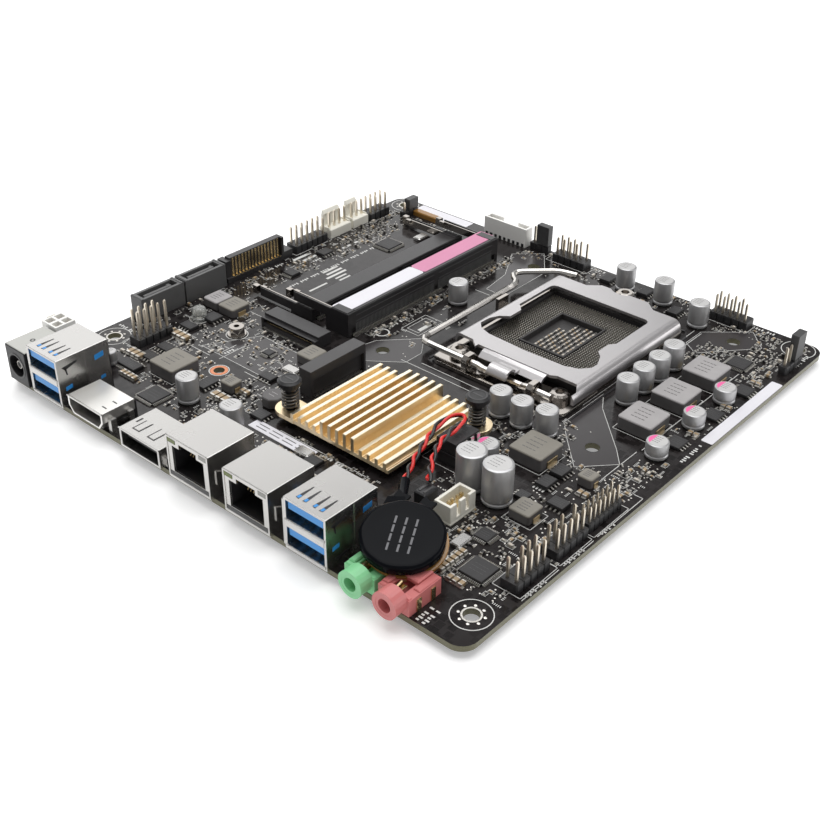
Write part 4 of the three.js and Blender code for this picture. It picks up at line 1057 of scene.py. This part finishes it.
def push_pin(side):
    """The slot across a push pin's head, and its spring."""
    x, y = PUSH_PINS[side]
    slot_mark = Piece(f"push_pin_{side}_cap")
    slot_mark.ring(x, y, 2.2, 2.6, 12.68, 12.78, GREY, 28)
    slot_mark.box(x - 1.7, x + 1.7, y - 0.3, y + 0.3, 12.66, 12.76, GREY, 0.05)
    slot_mark.build(body=f"pin_{side}")

    coil, foot, top = PIN_SPRING["coil"], PIN_SPRING["foot"], PIN_SPRING["top"]
    steps = int(PIN_SPRING["turns"] * 20)
    path = []
    for i in range(steps + 1):
        a = 2 * math.pi * i / 20
        path.append((x + coil * math.cos(a), y + coil * math.sin(a), foot + (top - foot) * i / steps))
    spring = Piece(f"push_pin_{side}_coil")
    spring.tube(path, PIN_SPRING["wire"], SPRING, 8)
    thing = spring.build([f"push_pin_spring_{side}"])
    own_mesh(thing)


# ------ rear connectors


SIDE_MARKS = [  # depth behind the mouth, and height
    (BLACK, [(1.6, 12.3), (2.6, 11.2), (6.6, 12.4), (6.6, 13.0)]),
    (BLACK, [(2.4, 11.9), (2.9, 9.6), (3.3, 9.6), (3.0, 11.9)]),
    (BLACK, [(2.6, 2.6), (3.4, 1.6), (7.6, 2.2), (7.6, 2.9)]),
    (BLUE, [(2.0, 4.9), (4.2, 5.2), (4.2, 6.4), (2.0, 6.1)]),
    (BLUE, [(12.2, 10.2), (15.2, 10.6), (15.2, 12.2), (12.2, 11.8)]),
    (BLUE, [(13.4, 3.6), (15.0, 3.8), (15.0, 4.8), (13.4, 4.6)]),
]


def usb_details(name, x0):
    """What shows of a double socket: tongues, spring fingers, side windows and the rolled mouths."""
    wide, high, deep = 13.6, 15.0, 17.0
    port = Piece(f"{name}_details", x0, FRONT_Y)
    for h in (1.3, 9.0):
        port.box(1.1, wide - 1.1, 0.5, 12.4, h + 2.7, h + 5.05, BLUE, 0.15, foot=True)
        port.box(0.72, wide - 0.72, 11.6, 12.45, h + 0.05, h + 5.2, BLACK)
        for x in (2.6, 5.1, 7.6, 10.1):
            port.box(x, x + 1.2, 1.6, 9, h + 2.56, h + 2.7, GOLD, 0.04)
        for x in (2.3, 7.7):
            port.skin([
                rectangle(x, x + 3.4, 2, 2.3, h + 0.02),
                rectangle(x + 0.5, x + 2.9, 5.4, 5.7, h + 0.75),
                rectangle(x + 0.9, x + 2.5, 7.6, 7.8, h + 0.1),
            ], TIN)
        port.tube([(0.3, -0.02, h - 0.3), (wide - 0.3, -0.02, h - 0.3)], 0.28, TIN, 8)
    port.box(0.7, wide - 0.7, -0.12, 0.3, 6.9, 8.7, TIN, 0.08)
    # Each roof finger is a leaf between two wedge-shaped slits, with the tongue showing at its root.
    slit = [(0, 1.9), (1.1, 1.7), (0.75, 7.2), (0.4, 7.3)]
    for x in (2.3, 7.6):
        for lean, foot in ((1, x), (-1, x + 3.4)):
            outline = [(foot + lean * across, y) for across, y in slit]
            port.prism(outline[::lean], high - 0.02, high + 0.02, BLACK)
            port.box(foot + lean * 0.15, foot + lean * 0.95, 2, 3.1, high, high + 0.035, BLUE, 0.01)
    # Windows and slanted finger slits in each side wall.
    for side, edge in ((-1, 0), (1, wide)):
        for material, outline in SIDE_MARKS:
            port.skin([[(edge + side * out, y, h) for y, h in outline] for out in (-0.02, 0.03)], material)
        port.box(edge - side * 0.02, edge + side * 0.12, 9.2, 9.5, 0.6, 14.4, TIN, 0.05)
    port.box(0.2, wide - 0.2, deep - 0.06, deep + 0.3, 0, 13.6, BLACK, 0.1)
    port.build()


def network_details(name, x0):
    """The liner, contacts and lamps in a network socket, and its rolled front frame."""
    wide, back = 15.8, 12.3
    port = Piece(f"{name}_details", x0, FRONT_Y)
    liner = [(2.02, 2.2, 2.45, 10.1), (wide - 2.2, wide - 2.02, 2.45, 10.1), (2.2, wide - 2.2, 2.42, 2.6),
             (2.2, 4.8, 9.98, 10.15), (wide - 4.8, wide - 2.2, 9.98, 10.15), (4.7, wide - 4.7, 11.4, 11.58)]
    for a, b, h0, h1 in liner:
        port.box(a, b, 0.5, back, h0, h1, BLACK, 0.03)
    port.box(2.1, wide - 2.1, back - 0.4, back, 2.5, 11.5, BLACK, 0.05)
    for i in range(8):
        x = wide / 2 + (i - 3.5) * 1.02
        port.tube([(x, back - 0.6, 9.4), (x, 5.9, 9.1), (x, 3.7, 6.4), (x, 4.1, 6.0)], 0.17, GOLD, 6)
    for x, lamp in ((0.5, LAMP_OLIVE), (wide - 3.4, LAMP_GREY)):
        port.box(x, x + 2.9, -0.1, 1.4, 10.9, 12.5, lamp, 0.2, foot=True)
    frame_bars = [(0, 0.5, 0.4, 12.9), (wide - 0.5, wide, 0.4, 12.9), (0.5, wide - 0.5, 12.5, 12.95),
                  (0.5, wide - 0.5, 0.5, 1.1)]
    for a, b, h0, h1 in frame_bars:
        port.box(a, b, -0.16, 0.2, h0, h1, TIN, 0.1)
    port.box(0.55, wide - 0.55, -0.1, 0.1, 1.1, 2.3, GREY, 0.05)
    for side, edge in ((-1, 0), (1, wide)):
        a, b = sorted((edge - side * 0.02, edge + side * 0.35))
        port.skin([rectangle(a, b, 2, y, h) for y, h in ((2.2, 4), (6, 6), (2.2, 8))], TIN)
    port.build()


def video_details():
    """Tongues and contacts in the two video sockets, and the slots cut in their shells."""
    port = Piece("video_port_details")
    port.box(-51.6, -39.4, FRONT_Y + 2.2, -77.5, 2.9, 3.9, BLACK, 0.15, foot=True)
    port.box(-29.4, -15.6, FRONT_Y + 1.6, -76.5, 2.6, 3.7, BLACK, 0.15, foot=True)
    for i in range(10):
        port.box(-50.8 + i * 1.05, -50.3 + i * 1.05, FRONT_Y + 2.8, -79, 3.88, 3.98, GOLD, 0.03)
        port.box(-28.4 + i * 1.2, -27.8 + i * 1.2, FRONT_Y + 2.2, -78, 3.68, 3.78, GOLD, 0.03)
    for x in (-27.6, -21.6):
        for a, b, c, d in ((0, 0.3, -84, -79.4), (2.6, 2.9, -84, -79.4), (0, 2.9, -84.2, -83.9)):
            port.box(x + a, x + b, c, d, 5.78, 5.84, BLACK, 0.01)
        port.box(x + 0.4, x + 2.5, -83.8, -79.6, 5.78, 5.9, TIN, 0.04)
    port.boxes(BLACK, 0.01, (-29.4, -28.8, -81.6, -79.4, 5.78, 5.84),
               (-41.2, -39.4, -83.6, -83.2, 6.18, 6.24), (-41.2, -39.4, -80.2, -79.8, 6.18, 6.24))
    port.boxes(TIN, 0.1, (-53.15, -37.85, FRONT_Y - 0.14, FRONT_Y + 0.3, 6.05, 6.35),
               (-30.75, -14.25, FRONT_Y - 0.14, FRONT_Y + 0.3, 5.65, 5.95))
    port.boxes(TIN, 0.15, (-37.9, -36.6, -84.4, -82.6, 0, 4.2), (-37.9, -36.6, -78.4, -76.8, 0, 4.2))
    port.box(-14.4, -13.4, -84.6, -83.6, 0, 3.0, TIN)
    port.boxes(BLACK, 0.15, (-52.6, -38.4, -75.5, -74.6, 0, 5.4), (-30.2, -14.8, -74.1, -73.3, 0, 5.2))
    port.build()


def power_jack_details():
    """The jack's pale cover, centre pin and flared mouth, and the contacts in the header beside it."""
    jack = Piece("dc_jack_cover")
    jack.box(-81.5, -72.2, FRONT_Y + 0.3, -73.0, 10.98, 11.25, STONE, 0.1)
    jack.box(-81.62, -81.4, FRONT_Y + 0.3, -73.2, 2, 11.1, STONE, 0.05)
    jack.ring(-76.85, -80, 0.4, 0.8, 11.2, 11.3, GREY, 16)
    jack.place = facing_out(-76.85, FRONT_Y, 5.6)
    jack.ring(0, 0, 3.35, 3.9, -0.2, 0.12, GREY, 32)
    jack.ring(0, 0, 1.02, 1.2, -8, -0.8, SOLDER, 16)
    jack.build()

    plug = Piece("power_header_contacts")
    for x in (-81.85, -78.55):
        for y in (-70.6, -67.4):
            plug.block(x, y, 0.55, 0.55, 3, 9.5, BRASS, 0.3)
    plug.box(-83.9, -83.6, -70.4, -67.6, 5, 12.2, IVORY, 0.1)
    plug.build()


def audio_details(name, x, material):
    """Ribs, the sprung contact in its window, side slots and the flared mouth of a jack."""
    jack = Piece(f"{name}_details", x)
    jack.box(-5.0, 3.8, -84.7, -83.6, 4.5, 4.95, material, 0.2)
    jack.boxes(material, 0.3, (-5.0, -3.2, -83.6, -74.4, 4.5, 5.3), (2.0, 3.8, -81.2, -74.4, 4.5, 5.0))
    jack.box(-3.2, 2.0, -79.6, -74.4, 4.5, 5.7, material, 0.35)
    jack.box(-2.3, 0.1, -83.1, -81.0, 4.1, 4.5, GOLD)
    jack.tube([(-1.1, -83.4, 4.9), (-1.1, -81.6, 5.4), (-1.1, -80.2, 4.7)], 0.35, BRASS, 6)
    jack.box(-2.4, -0.6, -78.4, -76.0, 5.66, 5.74, BLACK, 0.02)
    for y in (-82.4, -77.6):
        jack.boxes(GOLD, 0.05, (3.96, 4.2, y, y + 1.5, 0.2, 3.6), (-5.4, -5.16, y, y + 1.5, 0.2, 3.4))
    jack.place = facing_out(x, -88.6, 3.5)
    jack.ring(0, 0, 2.5, 3.55, -0.5, 0.06, material, 36)
    jack.ring(0, 0, 1.85, 2.5, -0.6, -0.02, BLACK, 36)
    jack.build()


# ------ battery


def tilted_cell():
    up = Vector((0.14, -0.18, 1)).normalized()
    turn = Vector((0, 0, 1)).rotation_difference(up).to_matrix().to_4x4()
    return Matrix.Translation((57.3, -73.7, 10.6)) @ turn


def battery():
    """A coin cell in a tight sleeve, with the sleeve's crimped tail and the pad it rests on."""
    cell = Piece("battery_sleeve")
    cell.place = tilted_cell()
    profile = [(8.9, -3.2), (9.6, -3.0), (9.95, -2.5), (10.0, -1.4), (9.98, -0.7), (9.7, -0.25), (9.3, -0.04),
               (8.9, 0.02), (8.5, -0.06), (5, -0.08), (1.5, -0.07)]
    loops = []
    for r, h in profile:
        loop = []
        for i in range(72):
            a = 2 * math.pi * i / 72
            pucker = 0.06 * math.sin(9 * a) * (r > 9.2) + 0.04 * math.sin(23 * a + r) * (r > 9.5)
            loop.append(((r + pucker) * math.cos(a), (r + pucker) * math.sin(a), h + pucker * 0.4))
        loops.append(loop)
    cell.skin(loops, SLEEVE)
    cell.skin([
        [(-5.4, 5.6, -2.2), (-9.0, 2.4, -2.2), (-9.0, 2.4, -0.9), (-5.4, 5.6, -0.9)],
        [(-7.4, 9.2, -2.6), (-10.6, 6.6, -2.6), (-10.6, 6.6, -1.4), (-7.4, 9.2, -1.4)],
    ], SLEEVE)
    ear = [(-1.5, -1.8), (1.7, -1.2), (1.5, 2.2), (-0.3, 1.6), (-1.9, 2.0)]
    for x, y in ((-8.2, 8.2), (-2.2, 10.6)):
        cell.prism([(x + px, y + py) for px, py in ear], -2.4, -1.6, SLEEVE)
    turned = cell.place
    cell.place = turned @ Matrix.Rotation(math.radians(-62), 4, "Z")
    dashes(cell, 0.4, 0, 10.5, 7.5, -0.08, 3, SLEEVE_INK, 0.5)
    cell.place = turned
    cell.build(["battery"])

    pad = Piece("battery_pad")
    pad.place = tilted_cell()
    pad.lathe(0.5, 0.4, [(9.6, -4.2), (9.9, -4.1), (9.9, -3.4), (9.5, -3.25)], AMBER, 48)
    pad.build()

    tail = Piece("lead_sleeve")
    tail.tube(smooth_route(LEAD_ROUTE)[2:22], 1.3, SLEEVE, 12)
    tail.build()


# ------ headers


def pin(piece, x, y, h0, h1, half=0.32):
    """A square plated pin with a tapered tip."""
    piece.skin([
        rectangle(x - half, x + half, y - half, y + half, h0),
        rectangle(x - half, x + half, y - half, y + half, h1 - 0.5),
        rectangle(x - half, x + half, y - half, y + half, h1, 0.16),
    ], PIN_PLATE)


def header(name, x, y, columns, rows, pitch, turned, top, gap=None):
    """A moulded strip, notched between its cells, with a pin in each cell but the one at gap."""
    piece = Piece(f"{name}_detailed", x, y, 90 if turned else 0)
    half, deep, notch, strip = pitch / 2, rows * pitch / 2, 0.3, 2.5
    for c in range(columns):
        cx = (c - (columns - 1) / 2) * pitch
        outline = [
            (cx - half, -deep + notch), (cx - half + notch, -deep), (cx + half - notch, -deep),
            (cx + half, -deep + notch), (cx + half, deep - notch), (cx + half - notch, deep),
            (cx - half + notch, deep), (cx - half, deep - notch),
        ]
        piece.skin([[(px, py, h) for px, py in outline] for h in (0, strip - 0.15)]
                   + [[(cx + (px - cx) * 0.93, py * 0.97, strip) for px, py in outline]], BLACK)
        for r in range(rows):
            if gap != (c, r):
                pin(piece, cx, (r - (rows - 1) / 2) * pitch, strip - 0.3, top, 0.32 if pitch > 2.2 else 0.26)
    return piece.build([name])


HEADERS = [  # name, x, y, columns, rows, pitch, whether turned, top of the pins, the cell left empty
    ("serial_header", -69.6, -45.1, 5, 2, 2.54, True, 11.4, (4, 1)),
    ("debug_header", -81.4, 32, 6, 2, 2.54, True, 8.4),
    ("backlight_header", -80.9, 66, 4, 2, 2.54, True, 8.4),
    ("usb_header", -5.3, 82, 5, 2, 2.54, False, 8.4, (4, 0)),
    ("tpm_header", 80, -27.4, 7, 2, 2, True, 7),
    ("microphone_header", 79.8, -41.6, 5, 2, 2.54, True, 8.4, (3, 1)),
    ("front_audio_header", 79.8, -57, 5, 2, 2.54, True, 8.4, (1, 1)),
    ("panel_header", 55, 82, 5, 2, 2.54, False, 8.4, (4, 1)),
    ("jumper_header_left", -71.9, 74.3, 3, 1, 2.54, True, 5.8),
    ("jumper_header_far", -19, 83, 3, 1, 2.54, False, 8.4),
    ("jumper_header_right", 81.6, 68.5, 4, 1, 2.54, True, 8.4),
]


def fan_header(name, y, pins):
    """A locking fan header: its base, its tall latch and its pins."""
    half = pins * 1.27
    piece = Piece(f"{name}_detailed", 0, y)
    piece.box(-84.4, -78.6, -half, half, 0, 3.2, IVORY, 0.25)
    latch = ((-83.3, 1.0, 3.1), (-83.5, 1.0, 7.0), (-83.0, 1.2, 7.5), (-83.8, 1.4, 8.6))
    piece.skin([rectangle(-84.4, x, inset - half, half - inset, h) for x, inset, h in latch], IVORY)
    for side in (-1, 1):
        piece.box(-83.4, -79.4, side * (half - 0.5), side * half, 3.1, 3.7, IVORY, 0.1)
    for i in range(pins):
        pin(piece, -80.78, (i - (pins - 1) / 2) * 2.54, 3, 9)
    piece.build([name])


def drive_port_details():
    """Gold contacts on the drive ports' blades, and the moulded ribs round them."""
    for name, y0 in (("near", -41.0), ("far", -23.8)):
        port = Piece(f"sata_port_{name}_details", 0, y0)
        for i in range(7):
            port.block(-80.75, 4.2 + i * 1.27, 0.07, 0.3, 2.4, 7.0, GOLD, 0.04)
        for y in (0.25, 15.6):
            port.box(-84.0, -78.6, y, y + 0.7, 7.78, 7.98, DRIVE_GREY, 0.08)
        port.build()
    power = Piece("sata_power_contacts")
    for i in range(15):
        y = -3.2 + i * 1.42
        power.box(-79.92, -79.76, y - 0.36, y + 0.36, 2.0, 8.1, GOLD, 0.05)
        power.box(-79.8, -78.7, y - 0.36, y + 0.36, 1.86, 2.02, GOLD, 0.03)
    power.build()


def small_connectors():
    """Slots in the display connector, pins in the speaker header, and the strip behind the network ports."""
    slots = Piece("display_connector_slots")
    for i in range(9):
        x = -41.2 + i * 1.95
        slots.box(x, x + 1.0, 80.5, 80.7, 0.15, 1.3, BLACK, 0.05)
    for i in range(12):
        x = -39.9 + i * 1.25
        slots.box(x, x + 0.4, 82.1, 82.22, 1.8, 5.8, GOLD, 0.03)
    slots.build()

    speaker = Piece("speaker_header_pins")
    for y in (-52, -50.6, -48.6, -47.2):
        speaker.box(52.42, 53.18, y - 0.38, y + 0.38, 1.4, 4.95, GOLD, 0.2)
    speaker.box(50.1, 55.5, -54.5, -44.7, 0, 0.6, IVORY, 0.2)
    speaker.build()

    strip = Piece("sticker_behind_ports")
    strip.box(-13, 10, -57.6, -53.8, 0, 0.12, PAPER, 0.03)
    dashes(strip, -1.5, -55.7, 20, 2.6, 0.12, 2, GREY, 0.3)
    strip.build()

    lamp = Piece("clear_lens", -68.3, -27.5)
    lamp.lathe(0, 0, [(2.6, 0), (2.6, 0.8), (2.3, 1.0), (2.3, 3.0), (1.8, 3.8), (0.9, 4.2)], CLEAR, 28)
    lamp.lathe(0, 0, [(0.7, 0.1), (0.7, 0.5)], SOLDER, 12)
    lamp.build()

    crystal = Piece("crystal_cans")
    for x, y, turned in ((-24.2, -30.6, False), (61.4, -57.6, True), (-55.4, 62, True), (8, -56.8, False)):
        w, d = (1.6, 2.6) if turned else (2.6, 1.6)
        crystal.block(x, y, w, d, 0.1, 1.1, TIN, 0.15, 0.6)
        crystal.block(x, y, w - 0.3, d - 0.3, 1.08, 1.25, TIN, 0.1, 0.4)
    crystal.build()


def labels():
    """Blank stickers on the board."""
    stickers = Piece("board_stickers")
    stickers.box(81.5, 84.9, 18.2, 58.2, 0, 0.1, PAPER, 0.03, 0.4)
    stickers.box(-73.6, -49.8, 78.6, 84.4, 0, 0.1, PAPER, 0.03, 0.4)
    stickers.box(-71.4, -60.4, 75.4, 78.2, 0, 1.8, AMBER, 0.3)
    stickers.build()


# ------ finishes of the CAD nodes

NODE_FINISH = {
    "pcb": LACQUER, "load_plate": SATIN, "socket_backplate": SATIN, "load_lever": WIRE_STEEL,
    "socket_frame": NICKEL, "m2_standoff": NICKEL, "heatsink": SINK_GOLD, "chipset": CHIP,
    "socket_body": SOCKET_GREY,
    "power_header": MILK, "speaker_header": IVORY, "display_connector": MILK, "audio_jack_green": GREEN,
    "audio_jack_pink": PINK, "firmware_socket": SLOT_BLACK, "firmware_chip": CHIP, "sata_power": SLOT_BLACK,
}
FINISH_BY_PREFIX = [
    ("socket_screw", NICKEL), ("shoulder_screw", NICKEL), ("sodimm_low_latch", NICKEL),
    ("sodimm_tall_latch", NICKEL), ("sodimm_slot", SLOT_BLACK), ("m2_slot_storage", SLOT_GREY),
    # The left video socket gets the lighter copy of the tinplate, a painted highlight.
    ("m2_slot", SLOT_BLACK), ("usb_stack", TIN), ("lan_port", TIN), ("video_port_left", TIN_PAINTED_HIGHLIGHT),
    ("video_port", TIN), ("sata_port", DRIVE_GREY), ("jumper_cap", GREY),
]
SOFT_EDGES = 0.12  # rounding on the corners of the CAD nodes named next, mm
SOFTENED = (
    "load_plate", "heatsink", "usb_stack", "lan_port", "video_port", "sodimm_slot", "m2_slot", "dc_jack",
    "power_header", "sata", "display_connector", "speaker_header", "audio_jack", "jumper_cap", "chipset",
    "firmware", "socket_frame", "socket_body",
)


def finish_of(name):
    if name in NODE_FINISH:
        return NODE_FINISH[name]
    for prefix, material in FINISH_BY_PREFIX:
        if name.startswith(prefix):
            return material
    return BLACK


def dress_nodes():
    """Each CAD node gets its finish, and hard corners get a small rounding."""
    for name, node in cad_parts.items():
        node.data.materials.clear()
        node.data.materials.append(finish_of(name))
        weld = node.modifiers.new("weld", "WELD")
        weld.merge_threshold = 0.00001
        if name.startswith(SOFTENED):
            bevel = node.modifiers.new("soft_edges", "BEVEL")
            bevel.width = SOFT_EDGES * MM
            bevel.segments = 2
            bevel.limit_method = "ANGLE"
            bevel.angle_limit = math.radians(40)
            bevel.use_clamp_overlap = True


def chip_legs():
    """Bright shoulders on the firmware chip's legs, and its plain marking."""
    legs = Piece("firmware_chip_legs")
    for side, edge in ((-1, 34.5), (1, 41.6)):
        for i in range(4):
            y = -30.6 + (i - 1.5) * 2.54
            legs.box(edge - side * 0.3, edge + side * 0.12, y - 0.62, y + 0.62, 3.65, 6.9, SOLDER, 0.08)
    legs.lathe(38.1, -26.5, [(0.7, 7.25), (0.6, 7.33)], GREY, 16)
    dashes(legs, 38.05, -31, 3.6, 5.4, 7.3, 4, GREY, 0.25)
    legs.build()


def floor():
    low, _ = cad_box
    data = bpy.data.meshes.new("floor")
    bm = bmesh.new()
    corners = [bm.verts.new((x, y, low.z)) for x, y in ((-4, -4), (4, -4), (4, 4), (-4, 4))]
    bm.faces.new(corners)
    bm.to_mesh(data)
    bm.free()
    sweep = surface("floor", (0.86, 0.86, 0.86), 0.75, vary=0.01, grain=60, bump=0.02)
    shader = sweep.node_tree.nodes["Principled BSDF"]
    fill(shader, Emission_Color=(1, 1, 1, 1), Emission_Strength=AMBIENT)
    data.materials.append(sweep)
    add_object("floor", data)


# ------ the whole scene

make_camera()
battery_lead()
make_light()
floor()
dress_nodes()
board_print()
plain_rules()
for index, spec in enumerate(CAPACITORS, 1):
    capacitor(index, *spec)
for index, spec in enumerate(CHOKES, 1):
    choke(index, *spec)
eight_sided_choke()
for spec in CHIPS:
    chip(*spec)
small_parts()
socket_contacts()
socket_marks()
for kind in MEMORY:
    memory_contacts(kind)
    memory_ribs(kind)
memory_label()
card_slot_contacts()
fin_top_highlights()
for side in PUSH_PINS:
    push_pin(side)
for side, x in (("left", -70), ("right", 31.8)):
    usb_details(f"usb_stack_{side}", x)
for side, x in (("left", -10.4), ("right", 10.8)):
    network_details(f"lan_port_{side}", x)
video_details()
power_jack_details()
audio_details("audio_jack_green", 54.9, GREEN)
audio_details("audio_jack_pink", 65.2, PINK)
battery()
for spec in HEADERS:
    header(*spec)
fan_header("fan_header_near", 46, 4)
fan_header("fan_header_far", 56, 3)
drive_port_details()
small_connectors()
labels()
chip_legs()
